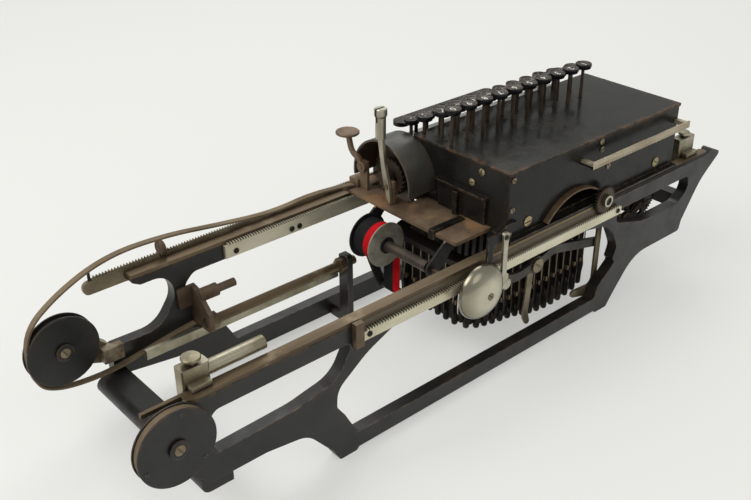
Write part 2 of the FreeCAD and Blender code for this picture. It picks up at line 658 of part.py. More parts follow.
def key_deck():
    """Sloping sheet deck in front of the cover, open below, for the front row and the space bar."""
    back = s.head_far - s.cover_lip / 2
    wall = WALL
    low = BASE_TOP
    side = [(back, low, 0), (back, s.deck_high, 2), (s.deck_front, s.deck_low, 4), (s.deck_front, low, 0)]
    hollow = [(back - wall, low - 1, 0), (back - wall, s.deck_high - wall * 2, 1),
              (s.deck_front + wall, s.deck_low - wall, 2), (s.deck_front + wall, low - 1, 0)]
    body = pad("x", outline(side), "head_long", "head_left - head_long / 2")
    inside = pad("x", outline(hollow), "head_long - 2 * sheet_metal", "head_left - head_long / 2")
    tools = [pin("z", "stem_radius + slide_gap", 60, key_x(k, 3), row_y(3),
                 "deck_low - 10") for k in range(KEYS)]
    tools += [pin("z", "stem_radius + slide_gap", 60, x, SPACE_Y, "deck_low - 10") for x in SPACE_STEMS]
    tools.append(pin("x", "3 + turn_gap", 10, "head_left - 6", "hood_y", "hood_z"))
    return cut(body, inside, *tools)


SPACE_Y = s.rear_row_y - 3 * s.row_pitch - 24
SPACE_X = (FIRST_KEY_X + 1.96 * s.key_pitch, FIRST_KEY_X + 8.64 * s.key_pitch)
SPACE_STEMS = (SPACE_X[0] + 25, SPACE_X[1] - 25)
SPACE_TOP = s.rear_row_top - 4.5 * s.row_drop
node(key_deck(), "key_deck")


# Keyboard: ten separate rear keys, three front rows and the space bar

def key(k, row):
    top = s.rear_row_top - row * s.row_drop
    foot = (158, 155, 152, 140)[row]
    r, thick = s.key_radius, s.key_thick
    profile = [(0, foot, 0), (s.stem_radius, foot, 0), (s.stem_radius, top - thick, 0),
               (r - 1.6, top - thick, 0),
               (r, top - thick + 1.2, 0), (r, top - 0.9, 0), (r - 0.9, top, 0), (r - 1.9, top - 0.5, 0),
               (0, top - 0.7, 0)]
    return turn("z", profile, key_x(k, row), row_y(row))


for k in range(KEYS):
    node(key(k, 0), "rear_key_%02d" % (k + 1))
for row in (1, 2, 3):
    node(group(*[key(k, row) for k in range(KEYS)]), ("second", "third", "front")[row - 1] + "_key_row")
slab = pad("z", outline(box_points(*SPACE_X, SPACE_Y - 7, SPACE_Y + 7, 6.5)), 4, SPACE_TOP - 2)
legs = [pin("z", "stem_radius", SPACE_TOP - s.deck_low + 12, x, SPACE_Y,
            SPACE_TOP - (SPACE_TOP - s.deck_low + 12) - 1)
        for x in SPACE_STEMS]
node(fuse(slab, *legs), "space_bar")


# Left end of the head: end plate, shelf, hood, escapement and two levers

plate = block("head_left", "head_left + 2.5", -2, 50, BASE_TEXT + " + shelf_thick", "casing_top - 27")
strip = block("head_left", "head_left + 6", -4, 52, "casing_top - 27", "casing_top - 25")
rib = block("head_left", "head_left + 7", 18, 23, BASE_TEXT + " + shelf_thick", "casing_top - 29")
END_PLATE = fuse(plate, strip, rib)

HOOD = (s.hood_y, s.hood_z)
SHELF_END = s.head_left + s.shelf_long
SHELF_TEXT = "head_left + shelf_long"
SHELF_TOP = BASE_TEXT + " + shelf_thick"
strap_top = block("head_left + 7", SHELF_TEXT, 27, 33, SHELF_TOP, SHELF_TOP + " + 2")
strap_drop = block(SHELF_TEXT, SHELF_TEXT + " + 1.5", 27, 33, SHELF_TOP + " - 6", SHELF_TOP + " + 2")
node(group(END_PLATE, fuse(strap_top, strap_drop)), "end_plate")
fork_y, fork_x = s.hood_y + 13, SHELF_END - 8.5


def lug(y0, y1):
    """Spool ear that reaches from the shelf's edge down to the spool shaft."""
    points = [(SHELF_END - 16, BASE_TOP + 1, 0), (SHELF_END, BASE_TOP + 1, 2),
              (s.spool_x + 7, s.spool_z + 4, 5),
              (s.spool_x + 5, s.spool_z - 6, 5), (s.spool_x - 6, s.spool_z - 5, 5)]
    return pad("y", outline(points) + circle(s.spool_x, s.spool_z, s.shaft_radius + s.turn_gap),
               y1 - y0, (y0 + y1) / 2)


def shelf():
    plate = block("head_left", SHELF_TEXT, "shelf_far", "shelf_near", BASE_TEXT, BASE_TEXT + " + shelf_thick")
    anchor = block("head_left + shelf_long - 20", "head_left + shelf_long - 8", "shelf_far", "shelf_far + 11",
                   BASE_TEXT + " + shelf_thick - 1", BASE_TEXT + " + shelf_thick + 7")
    upright = block(fork_x - 3.2, fork_x - 0.5, fork_y - 5, fork_y + 5, BASE_TEXT + " + 1", "hood_z + 5")
    thumb_ear = block(fork_x - 4.6, fork_x - 2, THUMB_PIVOT[0] - 5, THUMB_PIVOT[0] + 5, BASE_TEXT + " + 1",
                      THUMB_PIVOT[1] + 5)
    pivots = [pin("x", 2, 6, fork_x - 2, fork_y, "hood_z"), pin("x", 2, 5, fork_x - 3, *THUMB_PIVOT)]
    slot = block("head_left + 6", "head_left + 19", "hood_y - 24.5", "hood_y + 24.5", BASE_TEXT + " - 1",
                 BASE_TEXT + " + shelf_thick + 1")
    far_ear = s.spool_near - s.ribbon_wide - 8
    drop = [(s.spool_x - 6, s.spool_z - 4, 2), (s.spool_x + 4, s.spool_z - 4, 2),
            (GUIDE[0] + 4, GUIDE[1] - 3, 3),
            (GUIDE[0] - 4, GUIDE[1] - 3, 3)]
    arm = pad("y", outline(drop), 2, far_ear + 1)
    guide = pin("y", 2.5, s.ribbon_wide + 8, GUIDE[0], far_ear + 1, GUIDE[1])
    return fuse(cut(plate, slot), anchor, upright, thumb_ear, lug(far_ear, far_ear + 2), arm, guide,
                lug(s.shelf_near - 12, s.shelf_near - 10), *pivots)


THUMB_PIVOT = (s.hood_y - 22, s.hood_z + 6)
HANG_X = s.spool_x - s.ribbon_radius - 0.7
GUIDE = (HANG_X - 3.3, 44)
node(shelf(), "shelf")


def hood():
    """Part of a tube about an axis along X, open below."""
    def at(radius, degrees):
        angle = math.radians(degrees)
        return Vec(HOOD[0] + radius * math.cos(angle), HOOD[1] + radius * math.sin(angle), 0)
    outer, inner = s.hood_radius, s.hood_radius - 1.8
    low, mid, high = -9, 90, 189
    edges = [Part.Arc(at(outer, low), at(outer, mid), at(outer, high)),
             Part.LineSegment(at(outer, high), at(inner, high)),
             Part.Arc(at(inner, high), at(inner, mid), at(inner, low)),
             Part.LineSegment(at(inner, low), at(outer, low))]
    return pad("x", edges, "hood_long", "head_left + hood_long / 2")


node(hood(), "hood")


def escapement():
    """Ratchet wheel and its smaller feed wheel on one shaft out of the end wall."""
    def ratchet(teeth, radius, deep):
        points = []
        for k in range(teeth):
            for r, turn_by in ((radius, k / teeth), (radius - deep, (k + 0.15) / teeth)):
                angle = 2 * math.pi * turn_by
                points.append(Vec(0, HOOD[0] + r * math.cos(angle), HOOD[1] + r * math.sin(angle)))
        return Part.Face(Part.makePolygon(points + points[:1]))
    big = ratchet(32, s.hood_radius - 8, 3)
    small = ratchet(20, s.hood_radius - 19, 2.5)
    start = s.head_left + 8
    big.translate(Vec(start, 0, 0))
    small.translate(Vec(start + 4, 0, 0))
    centre = Vec(s.head_left - 5, *HOOD)
    shaft = Part.makeCylinder(3, 20, centre, Vec(1, 0, 0))
    hub = Part.makeCylinder(7, 19, Vec(start, *HOOD), Vec(1, 0, 0))
    return big.extrude(Vec(4, 0, 0)).multiFuse([small.extrude(Vec(6, 0, 0)), shaft, hub]).removeSplitter()


node(plain(escapement()), "escapement_wheel")


def fork_lever():
    """Upright lever with a forked cylinder at the top and a pointed blade below its pivot."""
    y, z = fork_y, s.hood_z
    blade = [(y + 2.9, z - 14, 0.3), (y + 4.9, z - 14, 0.3), (y + 3.4, z, 6), (y - 2.2, z + 18, 6),
             (y - 5.2, z + 42, 2), (y - 11, z + 42, 2), (y - 6.8, z + 18, 6), (y - 3, z, 6)]
    stem = pad("x", outline(blade) + circle(y, z, 2 + s.turn_gap), 3, fork_x + 1.5)
    top = [(0, 0, 0), (4.4, 0, 0), (4.4, 18, 0), (5.4, 20, 0), (5.4, 25.2, 0), (4.6, 26, 0), (0, 26, 0)]
    barrel = turn("z", top, fork_x + 1.5, y - 8.5, z + 41)
    slot = block(fork_x - 6, fork_x + 9, y - 9.5, y - 7.5, z + 55, z + 70)
    return cut(fuse(stem, barrel), slot)


node(fork_lever(), "fork_lever")


def thumb_lever():
    """Curved stem from its pivot ring up to a round thumb button."""
    y, z = THUMB_PIVOT
    stem = pad("x", band([(y + 1, z - 5, 0), (y - 2, z + 6, 8), (y - 13, z + 10, 10), (y - 17, z + 24, 0)],
                         4.5), 3,
               fork_x - 0.2)
    ring = pin("x", 5, 3, fork_x - 1.7, y, z)
    disc = [(0, 0, 0), (9.6, 0, 0), (10.3, 0.6, 0), (10.3, 2, 0), (9.6, 2.6, 0), (0, 2.6, 0)]
    paddle = turn("z", disc, fork_x - 0.2, y - 18, z + 24.6)
    return cut(fuse(stem, ring, paddle), pin("x", 2 + s.turn_gap, 12, fork_x - 6, y, z))


node(thumb_lever(), "thumb_lever")


# Ribbon spools

def spool_profile(wide, tail, lead):
    """Shaft with two flanges, measured from the near flange's outer face towards the far side."""
    r, shaft, plate = s.spool_radius, s.shaft_radius, 1.2
    core = 7
    far = -wide - 2 * plate
    return [(0, far - tail, 0), (shaft, far - tail, 0), (shaft, far - 1.5, 0), (core, far - 1.5, 0),
            (core, far, 0),
            (r, far, 0), (r, far + plate, 0), (core, far + plate, 0), (core, -plate, 0), (r, -plate, 0),
            (r, 0, 0),
            (core, 0, 0), (core, 2, 0), (s.hub_radius, 2, 0), (s.hub_radius, lead - 16, 0),
            (shaft, lead - 16, 0),
            (shaft, lead, 0), (0, lead, 0)]


lead = s.shelf_near - s.spool_near
node(turn("y", spool_profile(s.ribbon_wide, 10, lead), "spool_x", "spool_near", "spool_z"),
     "left_spool")
winding = [(7.1, 0, 0), (s.ribbon_radius, 0, 0), (s.ribbon_radius, s.ribbon_wide - 0.6, 0),
           (7.1, s.ribbon_wide - 0.6, 0)]
node(turn("y", winding, "spool_x", "spool_near - 1.2 - ribbon_wide + 0.3", "spool_z"), "left_ribbon")
ribbon_run = [(HANG_X, s.spool_z, 0), (HANG_X, GUIDE[1] - 3.3, 3.3), (GUIDE[0] - 9, GUIDE[1] - 3.3, 0)]
node(pad("y", band(ribbon_run, 0.6), "ribbon_wide - 2", "spool_near - 1.2 - ribbon_wide / 2"), "ribbon_strip")


def feed_wheel():
    """Spoked, toothed wheel on the right spool's shaft."""
    r = s.feed_radius
    teeth = 48
    centre = Vec(FEED_X, 0, s.feed_z)
    rim = gear_face(teeth, r, centre, 0)
    y0 = FEED_Y
    disc = extruded(rim, y0, y0 + 3)
    holes = []
    for k in range(5):
        wedge = Part.makeCylinder(r - 3.5, 6, centre + Vec(0, y0 - 1, 0), Vec(0, 1, 0), 50)
        wedge.rotate(centre, Vec(0, 1, 0), 72 * k)
        holes.append(wedge.cut(Part.makeCylinder(6.5, 8, centre + Vec(0, y0 - 2, 0), Vec(0, 1, 0))))
    disc = disc.cut(Part.makeCompound(holes))
    return disc.cut(Part.makeCylinder(s.shaft_radius, 9, centre + Vec(0, y0 - 3, 0), Vec(0, 1, 0)))


right_spool = turn("y", spool_profile(s.ribbon_wide, 10, FEED_Y - RIGHT_NEAR + 10), FEED_X,
                   RIGHT_NEAR, "feed_z")
node(group(right_spool, plain(feed_wheel())), "right_spool")


# Bell, its bracket and the hammer

BELL_Y = s.bell_back
plan = [(LEFT - 9, s.head_near, 0), (LEFT - 9, s.head_near + 3, 1), (LEFT + 4, s.head_near + 3, 6),
        (s.bell_x - 14, BELL_Y, 3), (s.bell_x - 8, BELL_Y, 0.5), (s.bell_x - 8, BELL_Y - 2, 0.5),
        (s.bell_x - 14, BELL_Y - 2, 4), (LEFT + 8, s.head_near, 5)]
shoulder = pad("z", outline(plan), 8, s.bell_z + 34)
drop = block("bell_x - 14", "bell_x - 8", "bell_back - 2", "bell_back", "bell_z - 4", "bell_z + 38")
foot = block("bell_x - 14", "bell_x + 4", "bell_back - 2", "bell_back", "bell_z - 4", "bell_z + 4")
bell_post = pin("y", 2, "bell_high + 0.4", "bell_x", "bell_back - 1", "bell_z")
hammer_pin = pin("y", 2, 4.4, s.bell_x - 25.5, BELL_Y - 1, "bell_z + 38")
hammer_ear = block("bell_x - 30", "bell_x - 8", "bell_back - 2", "bell_back", "bell_z + 34", "bell_z + 42")
node(fuse(shoulder, drop, foot, bell_post, hammer_pin, hammer_ear), "bell_bracket")


def bell():
    """Shallow dome with its mouth towards the machine."""
    r, high, wall = s.bell_radius, s.bell_high, s.bell_wall
    rim = 1.2

    def bulge(radius, height, degrees):
        angle = math.radians(degrees)
        return Vec(radius * math.cos(angle), height * math.sin(angle), 0)
    hole = 2 + s.turn_gap
    outer = [bulge(r, high, a) for a in range(0, 90, 10)]
    inner = [bulge(r - wall, high - wall, a) for a in range(0, 90, 10)]
    outline_points = [(p.x, p.y + rim, 0) for p in outer] + [(hole, high + rim, 0),
                                                             (hole, high + rim - wall, 0)]
    outline_points += [(p.x, p.y + rim, 0) for p in reversed(inner)] + [(r - wall, 0, 0), (r, 0, 0)]
    return turn("y", outline_points, "bell_x", "bell_back + slide_gap", "bell_z")


node(bell(), "bell")
hx = s.bell_x - 25.5
arm = [(hx - 3.5, s.bell_z + 42, 2), (hx + 3.5, s.bell_z + 42, 2), (hx + 2.4, s.bell_z + 30, 1),
       (hx + 2.4, s.bell_z + 4, 0.5),
       (hx + 1.2, s.bell_z - 8, 2), (hx - 5, s.bell_z - 8, 3), (hx - 5, s.bell_z + 4, 2),
       (hx - 2.4, s.bell_z + 6, 0.5),
       (hx - 2.4, s.bell_z + 30, 1)]
node(pad("y", outline(arm) + circle(hx, s.bell_z + 38, 2 + s.turn_gap), 2.4, BELL_Y + s.slide_gap + 1.2),
     "bell_hammer")


# Near face of the head: pinion in the rack, arch lip, scale strip and screws

def pinion():
    """Gear in mesh with the near rack, on a shaft that runs in the base."""
    teeth = int(s.pinion_teeth)
    centre = Vec(s.pinion_x, 0, PINION_Z)
    gap_at = math.floor(s.pinion_x / s.tooth_pitch) * s.tooth_pitch
    phase = -math.pi / 2 + (s.pinion_x - gap_at) / PINION_R + math.pi / teeth
    y0 = s.near_face + s.slide_gap
    gear = extruded(gear_face(teeth, PINION_R, centre, phase, 0.3), y0, y0 + s.rack_thick - 0.7)
    shaft_r = s.shaft_radius - 0.7
    shaft = Part.makeCylinder(shaft_r, y0 - s.head_near + 13, centre + Vec(0, s.head_near - 13, 0),
                              Vec(0, 1, 0))
    hub = Part.makeCylinder(5.5, s.rack_thick + 2.3, centre + Vec(0, y0, 0), Vec(0, 1, 0))
    eye = Part.makeCylinder(3.4, 2, centre + Vec(0, y0 + s.rack_thick + 1.3, 0), Vec(0, 1, 0))
    return gear.multiFuse([shaft, hub]).cut(eye).removeSplitter()


node(plain(pinion()), "pinion")


def arch_lip():
    """Steel lip bent round the half-moon opening."""
    def at(radius, degrees):
        angle = math.radians(degrees)
        return Vec(s.moon_x + radius * math.cos(angle), s.rail_top - s.moon_drop + radius * math.sin(angle),
                   0)
    outer, inner = s.moon_radius, s.moon_radius - 1.6
    low, high = 39, 126
    mid = (low + high) / 2
    edges = [Part.Arc(at(outer, low), at(outer, mid), at(outer, high)),
             Part.LineSegment(at(outer, high), at(inner, high)),
             Part.Arc(at(inner, high), at(inner, mid), at(inner, low)),
             Part.LineSegment(at(inner, low), at(outer, low))]
    return pad("y", edges, 7, "head_near + 1.6")


node(arch_lip(), "arch_lip")

SCALE = (RIGHT + 1, RIGHT + 0.614 * s.head_long, s.head_near + 11)
ruler = block(SCALE[0], SCALE[1], SCALE[2], SCALE[2] + 2, "casing_top - 17", "casing_top - 11")
arms = [block(x, x + 5, "head_near", SCALE[2] + 0.5, "casing_top - 16",
              "casing_top - 12") for x in (SCALE[0], SCALE[1] - 5)]
node(fuse(ruler, *arms), "scale_strip")


def screw_heads(places, radius, y):
    return [pin("y", radius, 1.4, x, y, z) for x, z in places]


small = [(LEFT - 5, 169), (LEFT - 5, 143), (-134, 171), (-135.5, 163.5), (-147, 145), (LEFT - 3.5, 122)]
large = [(LEFT - 25, 127), (RIGHT + 28, 127)]
heads = screw_heads(small, 2.6, "head_near") + screw_heads(large, 4.6, "head_near")
heads += [pin("x", 3.2, 1.6, "head_left", y, z) for y, z in ((43.4, 168), (33.4, 156))]
knob = turn("x", [(0, -12, 0), (3, -11.4, 0), (4.8, -9.8, 0), (5.5, -7.5, 0), (4.8, -5.2, 0),
                  (2.2, -3.6, 0), (2.2, 0, 0), (0, 0, 0)],
            RIGHT, s.head_far + 17, "casing_top - 6")
lever_screw = turn("y", [(0, 0, 0), (3, 0, 0), (3, 4.4, 0), (6.5, 4.4, 0), (6.5, 5.8, 0), (5.8, 6.4, 0),
                         (0, 6.4, 0)],
                   "basket_x + 9", "head_near - 12", "basket_top - 24")
node(group(*heads, knob, lever_screw), "head_screws")

rack_heads = screw_heads([(NEAR_RACK[1] - 6, 102.4), (NEAR_RACK[0] + 5, 102.4)], 2.2,
                         "near_face + rack_thick")
rack_heads += screw_heads([(x, 105.5) for x in (136, 80, 72, -60)], 2.4, "far_face + rack_thick")
BAR_OUT = s.far_face - s.casting_thick - s.tab_bar_thick
rim, wide = s.clamp_radius, s.clamp_wide
clamp_wheel = turn("x", [(0, 0, 0), (rim - 0.6, 0, 0), (rim, 0.6, 0), (rim, wide - 0.6, 0),
                         (rim - 0.6, wide, 0), (0, wide, 0)], CLAMP_X, BAR_OUT + 0.5, CLAMP_Z)
clamp_stem = block(CLAMP_X + 0.5, CLAMP_X + wide - 0.5, BAR_OUT - 3, BAR_OUT, "rail_top - 6", CLAMP_Z)
clamp = fuse(clamp_wheel, clamp_stem)
guide_pin = pin("z", 1.2, 8, "far_rail_end + tab_bar_reach - 6.5", BAR_OUT + s.tab_bar_thick / 2,
                "rail_top + tab_bar_rise - tooth_high - 0.8")
node(group(*rack_heads, clamp, guide_pin, near_stud, far_stud), "frame_screws")


# Type basket: segment ring, hanging type bars, ribbon lever and paper finger

def oblong(by):
    """Rounded oblong at an offset from the basket's edge."""
    x, y, half_long, half_wide = s.basket_x, s.basket_y, s.basket_long + by, s.basket_wide + by
    points = box_points(x - half_long, x + half_long, y - half_wide, y + half_wide, s.basket_round + by)
    return Part.Wire([e.toShape() for e in outline(points)])


def oblong_ring(out, inner, low, high):
    """Flat ring between two offsets from the basket's edge."""
    face = Part.Face(oblong(out)).cut(Part.Face(oblong(inner)))
    face.translate(Vec(0, 0, low))
    return face.extrude(Vec(0, 0, high - low))


def type_segment():
    top = s.basket_top
    ring = oblong_ring(4, -9, top - 5, top)
    under = s.rail_top + s.slide_gap
    far, near = s.base_far + 17, s.head_near - WALL - 9
    posts, bridges = [], []
    for side in (-1, 1):
        x = s.basket_x + side * s.basket_long * 0.52
        for y in (s.basket_y - s.basket_wide - 1, s.basket_y + s.basket_wide + 1):
            posts.append(Part.makeCylinder(2.6, under - top + 3, Vec(x, y, top - 3), Vec(0, 0, 1)))
        bridges.append(Part.makeBox(8, near - far, 4, Vec(x - 4, far, under - 4)))
    return ring.multiFuse(posts + bridges).removeSplitter()


node(plain(type_segment()), "type_segment")


def type_bars():
    """Bars hung edge-on round the basket, each with a hooked foot and a type block."""
    count = int(s.type_bars)

    def bar(long):
        side = [(-3, -1, 0), (3.2, -1, 0), (2.2, -long * 0.45, 6), (4.6, -long + 16, 8), (2.8, -long, 0),
                (-2.8, -long, 0),
                (-1.4, -long + 16, 8), (-2.6, -long * 0.45, 6)]
        face = Part.Face(Part.Wire([e.toShape() for e in outline(side)]))
        face.rotate(Vec(0, 0, 0), Vec(1, 0, 0), 90)
        face.translate(Vec(0, -0.8, 0))
        return face.extrude(Vec(0, 1.6, 0))

    bars = []
    path = oblong(-5).discretize(Number=count + 1)
    for k in range(count):
        along = path[(k + 1) % count] - path[k - 1]
        reach = max(0, (path[k].x - s.basket_x) / s.basket_long)
        one = bar(s.bar_long * (1 - 0.2 * reach ** 2))
        one.rotate(Vec(0, 0, 0), Vec(0, 0, 1), math.degrees(math.atan2(-along.x, along.y)))
        one.translate(path[k] + Vec(0, 0, s.basket_top - 4))
        bars.append(one)
    return Part.makeCompound(bars)


node(plain(type_bars()), "type_bars")


def ribbon_lever():
    """Bent arm behind the near casting, pivoted on a large screw under the base."""
    x, z = s.basket_x + 9, s.basket_top - 24
    arm = [(x + 52, z + 4, 0), (x + 24, z - 3, 30), (x - 4, z + 1, 14), (x - 22, z + 7, 20),
           (x - 88, z - 9, 0)]
    body = pad("y", band(arm, 8), 3.4, "head_near - 10")
    ring = pin("y", 8, 3.4, x, "head_near - 11.7", z)
    return cut(fuse(body, ring), pin("y", 3 + s.turn_gap, 20, x, "head_near - 25", z))


node(ribbon_lever(), "ribbon_lever")
blade = pad("y", outline([(s.basket_x + 8, s.basket_top - 32, 0), (s.basket_x + 15.5, s.basket_top - 32, 0),
                          (s.basket_x + 18, 20, 10), (s.basket_x + 13, 11, 4), (s.basket_x + 8, 12, 3),
                          (s.basket_x + 11.5, 24, 10)]), 1.8, "head_near - 12.9")
gx, gz = s.basket_x - 75, s.guard_low
guard = pad("y", outline([(gx, s.rail_top + s.slide_gap, 0), (gx, gz + 4, 5), (gx + 7, gz, 8),
                          (gx + 35, gz + 8, 3),
                          (gx + 35, gz + 14, 3), (gx + 6, gz + 12, 6),
                          (gx + 6, s.rail_top + s.slide_gap, 0)]),
            2.2, "head_near - 6.3")
node(group(blade, guard), "paper_finger")

# Writing the pieces

doc.recompute()
for obj in doc.Objects:
    bad = [state for state in obj.State if state in ("Invalid", "Error")]
    if bad:
        raise RuntimeError("%s (%s) failed: %s" % (obj.Name, obj.Label, obj.State))
os.makedirs("parts", exist_ok=True)
for obj in nodes:
    shape = obj.Shape
    if shape.isNull() or not shape.isValid() or shape.Volume < 1:
        raise RuntimeError("%s has no valid shape" % obj.Label)
for obj in nodes:
    obj.Shape.exportStep("parts/%s.step" % obj.Label)
print("%d pieces written" % len(nodes))
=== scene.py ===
"""Looks of the flat-bed billing typewriter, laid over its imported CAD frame. Metres."""
import math
import random

import bpy
from mathutils import Matrix, Vector


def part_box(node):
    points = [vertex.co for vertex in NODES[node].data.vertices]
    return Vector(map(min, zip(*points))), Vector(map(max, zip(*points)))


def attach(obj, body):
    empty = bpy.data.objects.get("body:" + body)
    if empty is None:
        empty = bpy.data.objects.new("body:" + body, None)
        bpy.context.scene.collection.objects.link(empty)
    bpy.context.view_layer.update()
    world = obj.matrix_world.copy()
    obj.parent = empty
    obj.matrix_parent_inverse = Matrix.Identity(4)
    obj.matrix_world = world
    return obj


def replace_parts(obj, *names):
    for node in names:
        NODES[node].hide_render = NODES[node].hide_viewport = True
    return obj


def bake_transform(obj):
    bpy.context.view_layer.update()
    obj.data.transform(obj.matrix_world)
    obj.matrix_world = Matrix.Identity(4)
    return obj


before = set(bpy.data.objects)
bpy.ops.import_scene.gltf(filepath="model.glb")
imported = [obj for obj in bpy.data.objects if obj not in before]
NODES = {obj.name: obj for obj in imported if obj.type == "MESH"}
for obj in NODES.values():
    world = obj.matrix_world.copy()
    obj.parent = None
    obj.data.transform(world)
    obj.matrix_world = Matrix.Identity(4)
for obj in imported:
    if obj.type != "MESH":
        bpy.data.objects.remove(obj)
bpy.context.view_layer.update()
MM = 0.001
SEED = 7
random.seed(SEED)

# Camera: solved from the straight edges of the frame

AZIMUTH, ELEVATION, ROLL = 138.92, 29.29, -0.318
CAMERA_AT = Vector((506.6, 519.5, 493.9)) * MM
LENS, SENSOR = 47.19, 36.0
CLIP_NEAR, CLIP_FAR = 0.05, 200


def add_camera():
    a, e = math.radians(AZIMUTH), math.radians(ELEVATION)
    back = Vector((math.sin(a) * math.cos(e), -math.cos(a) * math.cos(e), math.sin(e)))
    right = Vector((math.cos(a), math.sin(a), 0))
    up = back.cross(right)
    turn = Matrix((right, up, back)).transposed().to_4x4()
    roll = Matrix.Rotation(math.radians(ROLL), 4, "Z")
    data = bpy.data.cameras.new("camera")
    data.lens, data.sensor_width, data.sensor_fit = LENS, SENSOR, "HORIZONTAL"
    data.clip_start, data.clip_end = CLIP_NEAR, CLIP_FAR
    camera = bpy.data.objects.new("camera", data)
    camera.matrix_world = Matrix.Translation(CAMERA_AT) @ turn @ roll
    bpy.context.scene.collection.objects.link(camera)
    bpy.context.scene.camera = camera


# Light and floor: each lamp has a place, a size and a power

LAMPS = {
    "key": ((1.25, -0.35, 1.6), 1.3, 19),
    "fill": ((0.1, 1.5, 1.3), 1.2, 4),
    "back": ((-0.9, -1.0, 1.6), 1.4, 10),
}
LAMPS_AIM = Vector((0, 0, 0.08))
WORLD_COLOUR, WORLD_STRENGTH = (0.92, 0.93, 0.92, 1), 0.58
FLOOR_REACH, FLOOR_COLOUR = 60, (0.41, 0.41, 0.392, 1)
FLOOR_ROUGH, FLOOR_SHINE = 0.9, 0.2
GLOW_COLOUR, GLOW = (0.98, 0.98, 0.94, 1), 0.425


def add_lamp(name, at, size, power):
    data = bpy.data.lights.new(name, "AREA")
    data.shape, data.size, data.energy = "DISK", size, power
    lamp = bpy.data.objects.new(name, data)
    lamp.location = at
    lamp.rotation_euler = (LAMPS_AIM - Vector(at)).to_track_quat("-Z", "Y").to_euler()
    bpy.context.scene.collection.objects.link(lamp)


def light_scene():
    scene = bpy.context.scene
    scene.view_settings.view_transform = "Standard"
    world = bpy.data.worlds.new("studio")
    world.use_nodes = True
    sky = world.node_tree.nodes["Background"]
    sky.inputs["Color"].default_value = WORLD_COLOUR
    sky.inputs["Strength"].default_value = WORLD_STRENGTH
    scene.world = world
    for name, (at, size, power) in LAMPS.items():
        add_lamp(name, at, size, power)


def add_floor():
    """Pale paper, which looks brighter to the camera and in reflections than it lights the object."""
    signs = ((-1, -1), (1, -1), (1, 1), (-1, 1))
    mesh = bpy.data.meshes.new("floor")
    mesh.from_pydata([(FLOOR_REACH * x, FLOOR_REACH * y, 0) for x, y in signs], [], [(0, 1, 2, 3)])
    floor = bpy.data.objects.new("floor", mesh)
    bpy.context.scene.collection.objects.link(floor)
    paper = Paint("floor_paper")
    paper.set("Base Color", FLOOR_COLOUR)
    paper.set("Roughness", FLOOR_ROUGH)
    paper.set("Specular IOR Level", FLOOR_SHINE)
    seen = paper.math("MAXIMUM", paper.ray("Is Camera Ray"), paper.ray("Is Glossy Ray"))
    seen = paper.math("MAXIMUM", seen, paper.ray("Is Transmission Ray"))
    paper.set("Emission Color", GLOW_COLOUR)
    paper.set("Emission Strength", paper.math("MULTIPLY", seen, GLOW))
    mesh.materials.append(paper.material)


# Materials: small graphs of noise, rounded-edge wear, and grime with painted shade, in object coordinates

SAMPLES, NOISE_ROUGH = 4, 0.6


